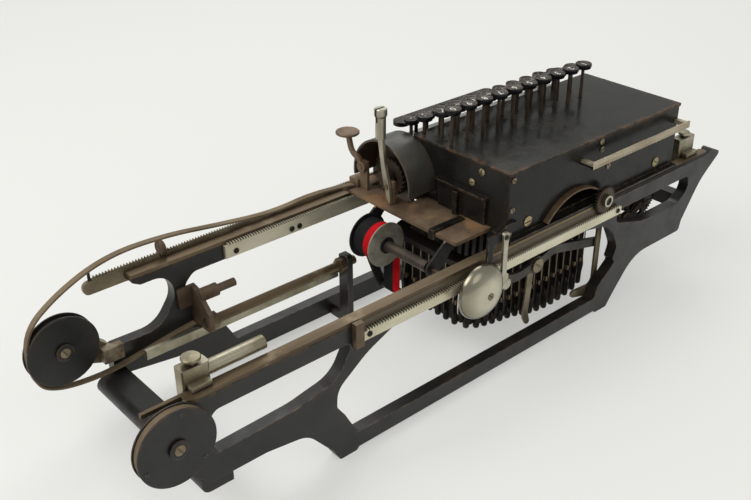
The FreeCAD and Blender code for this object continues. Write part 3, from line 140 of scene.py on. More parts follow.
class Paint:
    """A material with a principled shader and short calls for the nodes that feed it."""

    def __init__(self, name):
        self.material = bpy.data.materials.new(name)
        self.material.use_nodes = True
        self.tree = self.material.node_tree
        self.shader = self.tree.nodes["Principled BSDF"]
        self.spots = {}

    def feed(self, socket, value):
        if isinstance(value, bpy.types.NodeSocket):
            self.tree.links.new(value, socket)
        else:
            socket.default_value = value

    def add(self, kind, inputs, out=0, **options):
        node = self.tree.nodes.new("ShaderNode" + kind)
        for option, value in options.items():
            setattr(node, option, value)
        for where, value in inputs.items():
            self.feed(node.inputs[where], value)
        return node.outputs[out]

    def set(self, name, value):
        self.feed(self.shader.inputs[name], value)

    def place(self, stretch=(1, 1, 1)):
        if stretch not in self.spots:
            spot = self.add("TexCoord", {}, "Object")
            self.spots[stretch] = self.add("Mapping", {"Vector": spot, "Scale": stretch})
        return self.spots[stretch]

    def ray(self, name):
        return self.add("LightPath", {}, name)

    def axis(self, name):
        return self.add("SeparateXYZ", {0: self.place()}, name)

    def away(self, axes, centre):
        """Distance from a line that runs square to two axes."""
        squares = []
        for axis, at in zip(axes, centre):
            step = self.math("SUBTRACT", self.axis(axis), at)
            squares.append(self.math("MULTIPLY", step, step))
        return self.math("SQRT", self.math("ADD", *squares))

    def noise(self, scale, detail=4.0, stretch=(1, 1, 1)):
        return self.add("TexNoise", {"Vector": self.place(stretch), "Scale": scale, "Detail": detail,
                                     "Roughness": NOISE_ROUGH}, "Fac")

    def span(self, value, low, high, to_low=0.0, to_high=1.0):
        return self.add("MapRange", {0: value, 1: low, 2: high, 3: to_low, 4: to_high},
                        interpolation_type="SMOOTHSTEP")

    def cloud(self, scale, detail, low, high, to_low=0.0, to_high=1.0, stretch=(1, 1, 1)):
        """Noise whose values from low to high become those from to_low to to_high."""
        return self.span(self.noise(scale, detail, stretch), low, high, to_low, to_high)

    def math(self, operation, a, b=0.0):
        return self.add("Math", {0: a, 1: b}, operation=operation)

    def mix(self, factor, a, b):
        return self.add("Mix", {0: factor, 6: a, 7: b}, 2, data_type="RGBA")

    def edge(self, radius, low, high):
        """One at convex and concave edges, nought on flat faces, broken up by noise."""
        smooth = self.add("Bevel", {"Radius": radius}, samples=SAMPLES)
        flat = self.add("NewGeometry", {}, "Normal")
        dot = self.add("VectorMath", {0: smooth, 1: flat}, "Value", operation="DOT_PRODUCT")
        bend = self.math("SUBTRACT", 1.0, dot)
        return self.math("MULTIPLY", self.span(bend, low, high), self.cloud(140, 5, 0.38, 0.62))

    def grime_and_shade(self, reach):
        """One in corners and between teeth, from ambient occlusion: grime together with painted shade."""
        open_sky = self.add("AmbientOcclusion", {"Distance": reach}, "AO", samples=SAMPLES)
        return self.span(open_sky, 0.25, 0.85, 1.0, 0.0)

    def relief(self, height, strength, reach=0.4 * MM, round_by=0.5 * MM):
        rounded = self.add("Bevel", {"Radius": round_by}, samples=SAMPLES)
        self.set("Normal", self.add("Bump", {"Height": height, "Strength": strength, "Distance": reach,
                                             "Normal": rounded}))


SOOT, PALE_SOOT = (0.0045, 0.0045, 0.0042, 1), (0.011, 0.0105, 0.009, 1)
DUST, CHALK, STAIN = (0.026, 0.022, 0.016, 1), (0.060, 0.059, 0.048, 1), (0.105, 0.050, 0.023, 1)
WORN_BROWN, WORN_STEEL, BRASS_WEAR_GLINT = (0.13, 0.075, 0.040, 1), (0.25, 0.19, 0.12, 1), (0.44, 0.36, 0.22, 1)
# Colour of grime and of painted shade in corners and between teeth
GRIME_AND_SHADE = (0.030, 0.024, 0.017, 1)


def enamel(name, gloss, wear, stains, spots, grain, shine, faded, over=None, tint=(1, 1, 1, 1)):
    """Black enamel, stained brown along its edges and rubbed through to metal on them."""
    p = Paint(name)
    soot = p.mix(p.cloud(22, 4, 0.35, 0.7), SOOT, PALE_SOOT)
    dust = p.mix(p.cloud(9, 6, 0.5, 0.75, 0, 0.6), soot, DUST)
    chalk = p.mix(p.cloud(14, 5, 0.3, 0.7, faded * 0.5, faded), dust, CHALK)
    patch = p.cloud(34, 6, 0.63, 0.72, 0.0, spots)
    blotch = p.math("MULTIPLY", p.edge(8 * MM, 0.004, 0.04), p.cloud(30, 6, 0.48, 0.56, 0.0, stains))
    stained = p.mix(p.math("MAXIMUM", patch, blotch), chalk, STAIN)
    rubbed = p.math("MULTIPLY", p.edge(1.1 * MM, 0.02, 0.16), wear)
    tone = p.mix(p.cloud(90, 4, 0.4, 0.6), WORN_BROWN, WORN_STEEL)
    colour = p.mix(rubbed, stained, tone)
    p.set("Base Color", over(p, colour) if over else colour)
    p.set("Metallic", p.math("MULTIPLY", rubbed, 0.55))
    p.set("Specular IOR Level", shine)
    p.set("Specular Tint", tint)
    rough = p.cloud(55, 5, 0.3, 0.75, gloss, gloss + 0.2)
    p.set("Roughness", p.math("ADD", rough, p.math("MULTIPLY", patch, 0.25)))
    p.relief(p.noise(grain, 3), 0.08)
    return p.material


def aged_metal(name, bright, dull, stain, rough, brushed=(1, 1, 1), metal=0.9, dirt_and_shade=0.7, stain_at=0.55,
               bump=0.12, over=None):
    """Bare or plated metal with brown stains, brushing along one way, and grime with painted shade in its
    corners.
    """
    p = Paint(name)
    clouded = p.mix(p.cloud(40, 6, 0.3, 0.7, stretch=brushed), bright, dull)
    spots = p.cloud(26, 7, stain_at, stain_at + 0.16)
    stained = p.mix(spots, clouded, stain)
    # Grime and painted shade: darkened where ambient occlusion finds corners and crevices
    colour = p.mix(p.math("MULTIPLY", p.grime_and_shade(4 * MM), dirt_and_shade), stained, GRIME_AND_SHADE)
    p.set("Base Color", over(p, colour) if over else colour)
    p.set("Metallic", metal)
    grain = p.cloud(110, 5, 0.3, 0.7, rough, rough + 0.2, brushed)
    p.set("Roughness", p.math("ADD", grain, p.math("MULTIPLY", spots, 0.15)))
    p.relief(p.noise(420, 3, brushed), bump)
    return p.material


def lacquer(name, colour, rough, wear=0.0, shine=0.5):
    """Glossy black or pale lacquer with faint clouding, and brass on its edges, which is wear together with a
    painted glint.
    """
    p = Paint(name)
    paler = tuple(min(1, c * 1.9 + 0.012) for c in colour[:3]) + (1,)
    clouded = p.mix(p.cloud(150, 5, 0.35, 0.75), colour, paler)
    # Brass on the edges: wear and painted glints on the key caps' rims
    rubbed = p.math("MULTIPLY", p.edge(0.8 * MM, 0.03, 0.2), wear)
    p.set("Base Color", p.mix(rubbed, clouded, BRASS_WEAR_GLINT))
    p.set("Specular IOR Level", shine)
    p.set("Roughness", p.cloud(90, 4, 0.3, 0.7, rough, rough + 0.15))
    p.relief(p.noise(500), 0.05)
    return p.material


# Overlays: places on a node with another finish than the rest of it, some of them painted shade, and how
# softly they end

RACK_END, RACK_LUG, RACK_TIP = -138 * MM, 136.6 * MM, 107 * MM
RAIL_SIDE, NEAR_SIDE, SHELF_UNDER = 77.4 * MM, 10 * MM, 120.7 * MM
HOOD_Y, HOOD_Z, HOOD_INSIDE = -44 * MM, 139.5 * MM, 34.5 * MM
BELL_LOW, BELL_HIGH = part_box("bell")
BELL_MIDDLE, BELL_RADIUS = (BELL_LOW + BELL_HIGH) / 2, (BELL_HIGH.x - BELL_LOW.x) / 2
CRISP, SOFT, BLURRED = 0.2 * MM, 0.4 * MM, 1 * MM

BAND_BROWN, LUG_BROWN, HOOD_RUST = (0.105, 0.080, 0.049, 1), (0.13, 0.092, 0.056, 1), (0.10, 0.058, 0.034, 1)
# Painted shade: the near rail's side black, and the bell's rim colour with its reach below
RAIL_SIDE_SHADE, EAR_BLACK, BELL_RIM_SHADE = (0.010, 0.010, 0.009, 1), (0.016, 0.014, 0.012, 1), (0.16, 0.14, 0.10, 1)
# How far in from the bell's rim the painted shade begins, and how dark it gets
RIM_SHADE_FROM, RIM_SHADE_MOST = 0.35, 0.75


def bare_band(p, colour):
    """Bare brown steel along the top of the near casting, above its rack."""
    high = p.span(p.axis("Z"), RACK_TIP - SOFT, RACK_TIP)
    ahead = p.span(p.axis("X"), RACK_END - BLURRED, RACK_END)
    behind = p.span(p.axis("X"), RACK_LUG, RACK_LUG + BLURRED, 1.0, 0.0)
    band = p.math("MULTIPLY", high, p.math("MULTIPLY", ahead, behind))
    return p.mix(band, colour, BAND_BROWN)


def shaded_rail_side(p, colour):
    """Painted shade, black as enamel, on the near rail's outer edge behind the end of the rack, under the
    head at rest.
    """
    out = p.span(p.axis("Y"), RAIL_SIDE - CRISP, RAIL_SIDE)
    behind = p.span(p.axis("X"), RACK_END - BLURRED, RACK_END, 1.0, 0.0)
    return p.mix(p.math("MULTIPLY", out, behind), colour, RAIL_SIDE_SHADE)


def brown_lug(p, colour):
    """Brown lug on the near rack's front end."""
    ahead = p.span(p.axis("X"), RACK_LUG - CRISP, RACK_LUG)
    near = p.span(p.axis("Y"), 0.0, NEAR_SIDE)
    return p.mix(p.math("MULTIPLY", ahead, near), colour, LUG_BROWN)


def black_ears(p, colour):
    """Near-black on the spool ears, below the brown shelf's underside."""
    low = p.span(p.axis("Z"), SHELF_UNDER - SOFT, SHELF_UNDER, 1.0, 0.0)
    return p.mix(low, colour, EAR_BLACK)


def brown_inside(p, colour):
    """Rust on the inner side of the hood."""
    inside = p.span(p.away("YZ", (HOOD_Y, HOOD_Z)), HOOD_INSIDE - SOFT, HOOD_INSIDE, 1.0, 0.0)
    rust = p.math("MULTIPLY", inside, p.cloud(45, 5, 0.32, 0.6))
    return p.mix(rust, colour, HOOD_RUST)


def shaded_bell_rim(p, colour):
    """Painted shade on the bell, deeper towards its rim."""
    out = p.away("XZ", (BELL_MIDDLE.x, BELL_MIDDLE.z))
    rim = p.span(out, RIM_SHADE_FROM * BELL_RADIUS, BELL_RADIUS, 0.0, RIM_SHADE_MOST)
    return p.mix(rim, colour, BELL_RIM_SHADE)


# Materials of a single piece

LETTER_PITCH, TICKS_TOP = 2.54 * MM, 159.5 * MM
SCALE_PALE, SCALE_DARK, TICK_BLACK = (0.56, 0.50, 0.37, 1), (0.33, 0.26, 0.17, 1), (0.02, 0.016, 0.012, 1)
RIBBON_SPLIT, SPOOL_SPLIT, COLLAR_END, SHAFT_FROM = -19.8 * MM, -20 * MM, -8.9 * MM, -7.0 * MM
RED_INK, DARK_RED_INK = (0.60, 0.008, 0.012, 1), (0.36, 0.005, 0.008, 1)
BLACK_INK, GREY_INK = (0.010, 0.010, 0.011, 1), (0.024, 0.022, 0.021, 1)
FLANGE_PALE, FLANGE_DARK = (0.36, 0.34, 0.28, 1), (0.20, 0.175, 0.13, 1)
FLANGE_BLACK, COLLAR_BLACK = (0.016, 0.015, 0.015, 1), (0.012, 0.011, 0.010, 1)
SHAFT_PALE, SHAFT_DARK = (0.095, 0.070, 0.052, 1), (0.055, 0.042, 0.034, 1)


def scale_metal():
    """The rule's plate, with a tick at each letter."""
    p = Paint("scale_metal")
    along = p.math("DIVIDE", p.axis("X"), LETTER_PITCH)
    to_tick = p.math("ABSOLUTE", p.math("SUBTRACT", p.math("FRACT", along), 0.5))
    tick = p.span(to_tick, 0.05, 0.11, 1.0, 0.0)
    low = p.span(p.axis("Z"), TICKS_TOP, TICKS_TOP + SOFT, 1.0, 0.0)
    plate = p.mix(p.cloud(35, 6, 0.35, 0.7, stretch=(0.3, 1, 1)), SCALE_PALE, SCALE_DARK)
    p.set("Base Color", p.mix(p.math("MULTIPLY", tick, low), plate, TICK_BLACK))
    p.set("Metallic", 0.7)
    p.set("Roughness", p.cloud(80, 4, 0.3, 0.7, 0.35, 0.6))
    p.relief(p.noise(300), 0.1)
    return p.material


def webbing(name, light, dark, weave):
    """Woven tape: cross threads and a soft, soiled colour."""
    p = Paint(name)
    threads = p.add("TexWave", {"Vector": p.place(), "Scale": weave, "Distortion": 2.0, "Detail": 2.0}, "Fac")
    soiled = p.mix(p.cloud(30, 6, 0.35, 0.7), light, dark)
    p.set("Base Color", p.mix(p.span(threads, 0.2, 0.9, 0.0, 0.35), soiled, dark))
    p.set("Roughness", 0.85)
    p.relief(threads, 0.35, 0.3 * MM, 0.2 * MM)
    return p.material


def two_colour_ribbon():
    """Inked ribbon, red on its near half and black on its far half."""
    p = Paint("two_colour_ribbon")
    side = p.span(p.axis("Y"), RIBBON_SPLIT - SOFT, RIBBON_SPLIT + SOFT)
    red = p.mix(p.cloud(60, 5, 0.3, 0.75), RED_INK, DARK_RED_INK)
    black = p.mix(p.cloud(60, 5, 0.3, 0.75), BLACK_INK, GREY_INK)
    p.set("Base Color", p.mix(side, black, red))
    p.set("Roughness", 0.8)
    p.set("Specular IOR Level", 0.1)
    weave = p.add("TexWave", {"Vector": p.place(), "Scale": 900.0}, "Fac")
    p.relief(weave, 0.15, 0.1 * MM, 0.2 * MM)
    return p.material


def spool_metal():
    """Grey near flange, blackened collar and far flange, brown shaft."""
    p = Paint("spool_metal")
    side = p.span(p.axis("Y"), SPOOL_SPLIT - BLURRED, SPOOL_SPLIT + BLURRED)
    grey = p.mix(p.cloud(45, 6, 0.35, 0.65), FLANGE_PALE, FLANGE_DARK)
    collar = p.span(p.axis("Y"), COLLAR_END, COLLAR_END + CRISP)
    shaft = p.span(p.axis("Y"), SHAFT_FROM, SHAFT_FROM + CRISP)
    brown = p.mix(p.cloud(60, 5, 0.35, 0.65), SHAFT_PALE, SHAFT_DARK)
    near = p.mix(shaft, p.mix(collar, grey, COLLAR_BLACK), brown)
    p.set("Base Color", p.mix(side, FLANGE_BLACK, near))
    p.set("Metallic", 0.65)
    p.set("Roughness", p.cloud(70, 5, 0.3, 0.7, 0.36, 0.58))
    p.relief(p.noise(300), 0.12)
    return p.material


# Each aged metal has a bright and a dull colour and one for its stains

RUST = (0.115, 0.060, 0.031, 1)
CASTING = dict(gloss=0.30, wear=1.3, stains=0.35, spots=0.1, grain=420, shine=0.44, faded=0.12)
RAIL = dict(bright=(0.195, 0.143, 0.084, 1), dull=(0.085, 0.059, 0.034, 1), stain=(0.30, 0.245, 0.160, 1),
            rough=0.36, brushed=(0.12, 1, 1), metal=0.75)
MATERIALS = {
    "casting": enamel("casting_enamel", **CASTING),
    "near_casting": enamel("near_casting_enamel", **CASTING, over=bare_band),
    "casing": enamel("casing_enamel", gloss=0.20, wear=1.5, stains=0.2, spots=0.0, grain=600, shine=0.20,
                     faded=0.06),
    "cover": enamel("cover_enamel", gloss=0.15, wear=1.3, stains=1.3, spots=0.12, grain=650, shine=0.12,
                    faded=0.34, tint=(1, 0.95, 0.82, 1)),
    "hood": enamel("hood_enamel", gloss=0.30, wear=2.4, stains=0.5, spots=0.2, grain=500, shine=0.55,
                   faded=0.72, over=brown_inside, tint=(1, 0.97, 0.90, 1)),
    "drum": enamel("drum_enamel", gloss=0.32, wear=0.6, stains=0.25, spots=0.1, grain=500, shine=0.42,
                   faded=0.14),
    "rail": aged_metal("rail_steel", **RAIL),
    # Near rail: its outer edge behind the rack is darkened with painted shade
    "near_rail": aged_metal("near_rail_steel", **RAIL, over=shaded_rail_side),
    "brown": aged_metal("brown_steel", (0.16, 0.112, 0.074, 1), (0.085, 0.056, 0.036, 1), RUST,
                        rough=0.45, metal=0.6),
    "wheel": aged_metal("wheel_steel", (0.095, 0.068, 0.044, 1), (0.045, 0.032, 0.022, 1), RUST,
                        rough=0.42, metal=0.6),
    "shelf": aged_metal("shelf_steel", (0.225, 0.155, 0.096, 1), (0.125, 0.082, 0.050, 1),
                        (0.32, 0.185, 0.090, 1), rough=0.45, metal=0.45, stain_at=0.51, over=black_ears),
    "nickel": aged_metal("aged_nickel", (0.52, 0.49, 0.40, 1), (0.37, 0.33, 0.25, 1), (0.20, 0.145, 0.09, 1),
                         rough=0.28, stain_at=0.6),
    "stop": aged_metal("stop_nickel", (0.40, 0.37, 0.275, 1), (0.21, 0.18, 0.115, 1), (0.11, 0.078, 0.045, 1),
                       rough=0.26, metal=0.85, dirt_and_shade=0.9, stain_at=0.56),
    "dull": aged_metal("dull_nickel", (0.33, 0.285, 0.195, 1), (0.19, 0.150, 0.095, 1),
                       (0.105, 0.066, 0.038, 1), rough=0.36, metal=0.8, stain_at=0.54),
    "rack": aged_metal("rack_nickel", (0.78, 0.73, 0.56, 1), (0.58, 0.52, 0.37, 1), (0.28, 0.20, 0.11, 1),
                       rough=0.36, brushed=(0.3, 1, 1), metal=0.65, dirt_and_shade=0.9, stain_at=0.59, over=brown_lug),
    # Bell: darkened towards its rim by painted shade
    "bell": aged_metal("bell_nickel", (0.60, 0.57, 0.45, 1), (0.50, 0.47, 0.36, 1), (0.40, 0.36, 0.27, 1),
                       rough=0.12, dirt_and_shade=0.1, stain_at=0.6, bump=0.006, over=shaded_bell_rim),
    "dark": aged_metal("dark_steel", (0.040, 0.036, 0.031, 1), (0.020, 0.018, 0.015, 1),
                       (0.10, 0.068, 0.040, 1), rough=0.40, metal=0.7, dirt_and_shade=0.6),
    "lever": aged_metal("lever_steel", (0.095, 0.088, 0.074, 1), (0.050, 0.046, 0.040, 1),
                        (0.11, 0.080, 0.052, 1), rough=0.38, metal=0.6),
    "basket": aged_metal("basket_steel", (0.040, 0.035, 0.028, 1), (0.016, 0.014, 0.011, 1),
                         (0.13, 0.092, 0.052, 1), rough=0.36, brushed=(1, 1, 0.4), metal=0.8, dirt_and_shade=0.75,
                         stain_at=0.6),
    "brass": aged_metal("joint_brass", (0.24, 0.180, 0.100, 1), (0.11, 0.080, 0.047, 1),
                        (0.06, 0.043, 0.028, 1), rough=0.34),
    "lip": aged_metal("lip_steel", (0.215, 0.138, 0.078, 1), (0.095, 0.062, 0.038, 1),
                      (0.27, 0.145, 0.065, 1), rough=0.44, metal=0.5, stain_at=0.54),
    "screw": aged_metal("screw_brass", (0.52, 0.44, 0.27, 1), (0.28, 0.215, 0.12, 1), (0.13, 0.085, 0.045, 1),
                        rough=0.28, metal=0.85, dirt_and_shade=1.0, stain_at=0.57),
    "scale": scale_metal(),
    "strap": webbing("strap_webbing", light=(0.225, 0.168, 0.098, 1), dark=(0.125, 0.086, 0.047, 1),
                     weave=520.0),
    "ribbon": two_colour_ribbon(),
    "spool": spool_metal(),
    # Key caps: the brass on their rims is partly wear and partly painted glints
    "cap": lacquer("key_lacquer", (0.004, 0.004, 0.005, 1), rough=0.10, wear=1.1, shine=0.17),
    "disc": lacquer("key_disc", (0.020, 0.013, 0.009, 1), rough=0.12, shine=0.20),
    "legend": lacquer("legend_ivory", (0.70, 0.65, 0.50, 1), rough=0.4),
}

NODE_LOOKS = {
    "casting": ("far_side_frame", "crossbars", "rod_post"),
    "near_casting": ("near_side_frame",),
    "drum": ("spring_drum", "strap_pulley"),
    "casing": ("head_base", "head_casing", "end_plate", "key_deck", "space_bar", "bell_bracket"),
    "cover": ("top_cover",),
    "hood": ("hood",),
    "rail": ("far_rail", "tie_rod"),
    "near_rail": ("near_rail",),
    "brown": ("leg_bracket",),
    "lip": ("arch_lip",),
    "wheel": ("escapement_wheel", "pinion"),
    "shelf": ("shelf", "thumb_lever"),
    "nickel": ("bell_hammer", "fork_lever"),
    "stop": ("left_stop", "left_stop_knob", "right_stop", "flat_bar"),
    "dull": ("tabulator_bar", "pulley_bracket", "paper_finger"),
    "rack": ("near_rack", "far_rack"),
    "dark": ("right_spool",),
    "lever": ("ribbon_lever",),
    "basket": ("type_segment", "type_bars"),
    "scale": ("scale_strip",),
    "spool": ("left_spool",),
}


def dress_nodes():
    for look, names in NODE_LOOKS.items():
        for name in names:
            mesh = NODES[name].data
            mesh.materials.clear()
            mesh.materials.append(MATERIALS[look])


# Mesh building

AXES = {
    "x": Matrix(((0, 0, 1), (1, 0, 0), (0, 1, 0))),
    "y": Matrix(((0, 1, 0), (0, 0, 1), (1, 0, 0))),
    "z": Matrix.Identity(3),
}
SIDEWAYS = (0, 1, 0)
SLOT_HALF, SLOT_FLOOR = 0.13, 0.4
DOME_FALL, DOME_POWER = 0.45, 2.4
SLOTTED_ACROSS, SLOTTED_DEEP = 16, 5


class Shape:
    """Gathers turned and swept forms into one mesh. A form without a look takes the first of its mesh."""

    def __init__(self):
        self.points, self.faces, self.looks = [], [], []

    def take(self, points, faces, look):
        first = len(self.points)
        self.points += [Vector(p) for p in points]
        self.faces += [tuple(first + i for i in face) for face in faces]
        self.looks += [look] * len(faces)

    def lathe(self, at, axis, profile, look=None, steps=36):
        """Turns (radius, height) points about an axis through a point; pole points have radius nought."""
        turn = AXES[axis]
        points, rings, faces = [], [], []
        for radius, height in profile:
            if radius <= 0:
                rings.append([len(points)] * steps)
                points.append(Vector(at) + turn @ Vector((0, 0, height)))
                continue
            rings.append(list(range(len(points), len(points) + steps)))
            for k in range(steps):
                angle = 2 * math.pi * k / steps
                spot = Vector((radius * math.cos(angle), radius * math.sin(angle), height))
                points.append(Vector(at) + turn @ spot)
        for low, high in zip(rings, rings[1:]):
            for k in range(steps):
                n = (k + 1) % steps
                face = tuple(dict.fromkeys((low[k], low[n], high[n], high[k])))
                if len(face) > 2:
                    faces.append(face)
        self.take(points, faces, look)

    def slotted(self, at, axis, radius, high, tilt, look=None):
        """Low domed screw head with a straight slot."""
        turn = AXES[axis] @ Matrix.Rotation(tilt, 3, "Z")
        half, floor = radius * SLOT_HALF, high * SLOT_FLOOR
        reach = math.sqrt(radius ** 2 - half ** 2)

        def dome(u, v):
            return high * (1 - DOME_FALL * min(1, math.hypot(u, v) / radius) ** DOME_POWER)
        for sign in (1, -1):
            points, faces = [], []
            for i in range(SLOTTED_ACROSS + 1):
                u = -reach * math.cos(math.pi * i / SLOTTED_ACROSS)
                edge = math.sqrt(max(radius ** 2 - u ** 2, half ** 2))
                column = [(u, sign * half, floor)]
                for j in range(SLOTTED_DEEP + 1):
                    v = half + (edge - half) * j / SLOTTED_DEEP
                    column.append((u, sign * v, dome(u, v)))
                column.append((u, sign * edge, 0.0))
                points += [Vector(at) + turn @ Vector(p) for p in column]
            rows = SLOTTED_DEEP + 3
            for i in range(SLOTTED_ACROSS):
                for j in range(rows - 1):
                    a, b = i * rows + j, (i + 1) * rows + j
                    faces.append((a, b, b + 1, a + 1) if sign > 0 else (a, a + 1, b + 1, b))
            self.take(points, faces, look)
        corners = [(-reach, -half), (reach, -half), (reach, half), (-reach, half)]
        self.take([Vector(at) + turn @ Vector((u, v, floor)) for u, v in corners], [(0, 1, 2, 3)], look)

    def strip(self, spots, normals, side, wide, thick, look=None):
        """Flat tape along a path, as wide as said along side."""
        half = Vector(side) * (wide / 2)
        points, faces = [], []
        for spot, normal in zip(spots, normals):
            rise = normal * (thick / 2)
            points += [spot - half - rise, spot + half - rise, spot + half + rise, spot - half + rise]
        last = len(spots) - 1
        for k in range(last):
            a, b = 4 * k, 4 * k + 4
            faces += [(a + i, b + i, b + (i + 1) % 4, a + (i + 1) % 4) for i in range(4)]
        faces += [(3, 2, 1, 0), tuple(4 * last + i for i in range(4))]
        self.take(points, faces, look)

    def mesh(self, mesh, at, look):
        points = [v.co + Vector(at) for v in mesh.vertices]
        self.take(points, [tuple(p.vertices) for p in mesh.polygons], look)

    def build(self, name, looks, sharp=38):
        """An object whose edges over sharp degrees stay hard."""
        mesh = bpy.data.meshes.new(name)
        mesh.from_pydata(self.points, [], self.faces)
        for look in looks:
            mesh.materials.append(MATERIALS[look])
        mesh.polygons.foreach_set("material_index", [looks.index(look or looks[0]) for look in self.looks])
        mesh.validate()
        mesh.shade_smooth()
        mesh.set_sharp_from_angle(angle=math.radians(sharp))
        obj = bpy.data.objects.new(name, mesh)
        bpy.context.scene.collection.objects.link(obj)
        return obj


def spline_points(points, fine):
    """Points along a smooth spline that a few points control."""
    curve = bpy.data.curves.new("route", "CURVE")
    curve.dimensions, curve.resolution_u = "3D", fine
    spline = curve.splines.new("NURBS")
    spline.points.add(len(points) - 1)
    for spot, point in zip(spline.points, points):
        spot.co = (*point, 1)
    spline.order_u, spline.use_endpoint_u = 3, True
    obj = bpy.data.objects.new("route", curve)
    mesh = bpy.data.meshes.new_from_object(obj)
    spots = [v.co.copy() for v in mesh.vertices]
    bpy.data.objects.remove(obj)
    return spots


def across(spots, side):
    """Unit normals of a path that stays square to side."""
    normals = []
    for i in range(len(spots)):
        along = spots[min(i + 1, len(spots) - 1)] - spots[max(i - 1, 0)]
        normals.append(along.cross(Vector(side)).normalized())
    return normals


def islands(node):
    """Boxes (low, high) of a CAD node's separate solids, from low X up."""
    mesh = NODES[node].data
    spots, ids = {}, []
    for vertex in mesh.vertices:
        key = tuple(round(c, 6) for c in vertex.co)
        ids.append(spots.setdefault(key, len(spots)))
    owner = list(range(len(spots)))

    def root(i):
        while owner[i] != i:
            owner[i] = owner[owner[i]]
            i = owner[i]
        return i
    for poly in mesh.polygons:
        first = root(ids[poly.vertices[0]])
        for vertex in poly.vertices:
            owner[root(ids[vertex])] = first
    groups = {}
    for key, i in spots.items():
        groups.setdefault(root(i), []).append(key)
    boxes = []
    for keys in groups.values():
        low = Vector([min(k[c] for k in keys) for c in range(3)])
        high = Vector([max(k[c] for k in keys) for c in range(3)])
        boxes.append((low, high))
    return sorted(boxes, key=lambda box: (round(box[0].x, 4), box[0].y))


def far_foot(low, high):
    """Middle of the far side of a box, where a form turned about Y begins."""
    return Vector(((low.x + high.x) / 2, low.y, (low.z + high.z) / 2))


# Keys: a lacquered cap in a thin rim, a pale legend on its dished disc, and a steel stem

REAR_LEGENDS = "1234567890"
LEGENDS = {"second_key_row": "QWERTYUIOP", "third_key_row": "ASDFGHJKL;", "front_key_row": "ZXCVBNM,.-"}
KEY_LOOKS = ("cap", "wheel", "legend", "disc")
CAP_SHARE, CAP_THICK, STEM_RADIUS = 0.95, 5.3 * MM, 1.5 * MM
LEGEND_SIZE, LEGEND_HALF, LEGEND_SUNK = 8.6 * MM, 0.05 * MM, 0.78 * MM


def legend_mesh(letter):
    data = bpy.data.curves.new("legend", "FONT")
    data.body, data.size = letter, LEGEND_SIZE
    data.align_x, data.align_y = "CENTER", "CENTER"
    data.resolution_u, data.extrude = 3, LEGEND_HALF
    obj = bpy.data.objects.new("legend", data)
    mesh = bpy.data.meshes.new_from_object(obj)
    bpy.data.objects.remove(obj)
    return mesh


def add_key(shape, low, high, letter):
    """One key in the box of its CAD solid."""
    at = Vector(((low.x + high.x) / 2, (low.y + high.y) / 2, 0))
    radius = (high.x - low.x) / 2 * CAP_SHARE
    top, foot, under = high.z, low.z, high.z - CAP_THICK
    stem = [(0, foot), (STEM_RADIUS, foot), (STEM_RADIUS, under - 0.7 * MM),
            (STEM_RADIUS + 1.2 * MM, under + 0.2 * MM)]
    cap = [(STEM_RADIUS, under), (radius * 0.70, under + 0.1 * MM), (radius * 0.90, under + 0.8 * MM),
           (radius * 0.97, under + 2 * MM), (radius, top - 1.6 * MM), (radius, top - 0.8 * MM),
           (radius * 0.965, top - 0.2 * MM), (radius * 0.925, top), (radius * 0.88, top - 0.12 * MM),
           (radius * 0.85, top - 0.5 * MM)]
    disc = [(radius * 0.85, top - 0.5 * MM), (radius * 0.7, top - 0.72 * MM),
            (radius * 0.35, top - 0.85 * MM), (0, top - 0.88 * MM)]
    shape.lathe(at, "z", stem, "wheel", 16)
    shape.lathe(at, "z", cap, "cap", 40)
    shape.lathe(at, "z", disc, "disc", 40)
    shape.mesh(legend_mesh(letter), at + Vector((0, 0, top - LEGEND_SUNK)), "legend")


def add_keys():
    for k, letter in enumerate(REAR_LEGENDS):
        node = "rear_key_%02d" % (k + 1)
        shape = Shape()
        add_key(shape, *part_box(node), letter)
        key = shape.build("dressed_" + node, KEY_LOOKS)
        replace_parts(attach(key, node), node)
    for node, letters in LEGENDS.items():
        shape = Shape()
        for (low, high), letter in zip(islands(node), letters):
            add_key(shape, low, high, letter)
        row = shape.build("dressed_" + node, KEY_LOOKS)
        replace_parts(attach(row, node), node)


# Screws: slotted heads in the places of the CAD heads, told apart by their size and place

FLAT_HEAD, SMALL_HEAD, KNOB_BEHIND = 2 * MM, 3 * MM, -240 * MM
LEVER_SHANK, LEVER_HEAD, LEVER_TILT = 3 * MM, 2 * MM, 0.9
RACK_HEAD, PIN_WIDE, STUDS_AHEAD = 6 * MM, 3 * MM, 280 * MM


def head_of(low, high):
    """Axis letter, middle of the seat, radius and height of a short round solid seen from outside."""
    size = high - low
    thin = min(range(3), key=lambda c: size[c])
    seat = (low + high) / 2
    seat[thin] = low[thin]
    return "xyz"[thin], seat, max(size) / 2, size[thin]


def add_head_screws():
    shape = Shape()
    for low, high in islands("head_screws"):
        axis, seat, radius, height = head_of(low, high)
        if height < FLAT_HEAD:
            look = "dull" if radius < SMALL_HEAD else "screw"
            shape.slotted(seat, axis, radius, height, random.uniform(0, math.pi), look)
        elif low.x < KNOB_BEHIND:
            ball_knob(shape, low, high)
        else:
            foot, shank = far_foot(low, high), high.y - low.y - LEVER_HEAD
            shape.lathe(foot, "y", [(0, 0), (LEVER_SHANK, 0), (LEVER_SHANK, shank)], "dull", 24)
            shape.slotted(foot + Vector((0, shank, 0)), "y", radius, LEVER_HEAD, LEVER_TILT, "dull")
    screws = shape.build("dressed_head_screws", ("screw", "dull"))
    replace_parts(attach(screws, "head"), "head_screws")


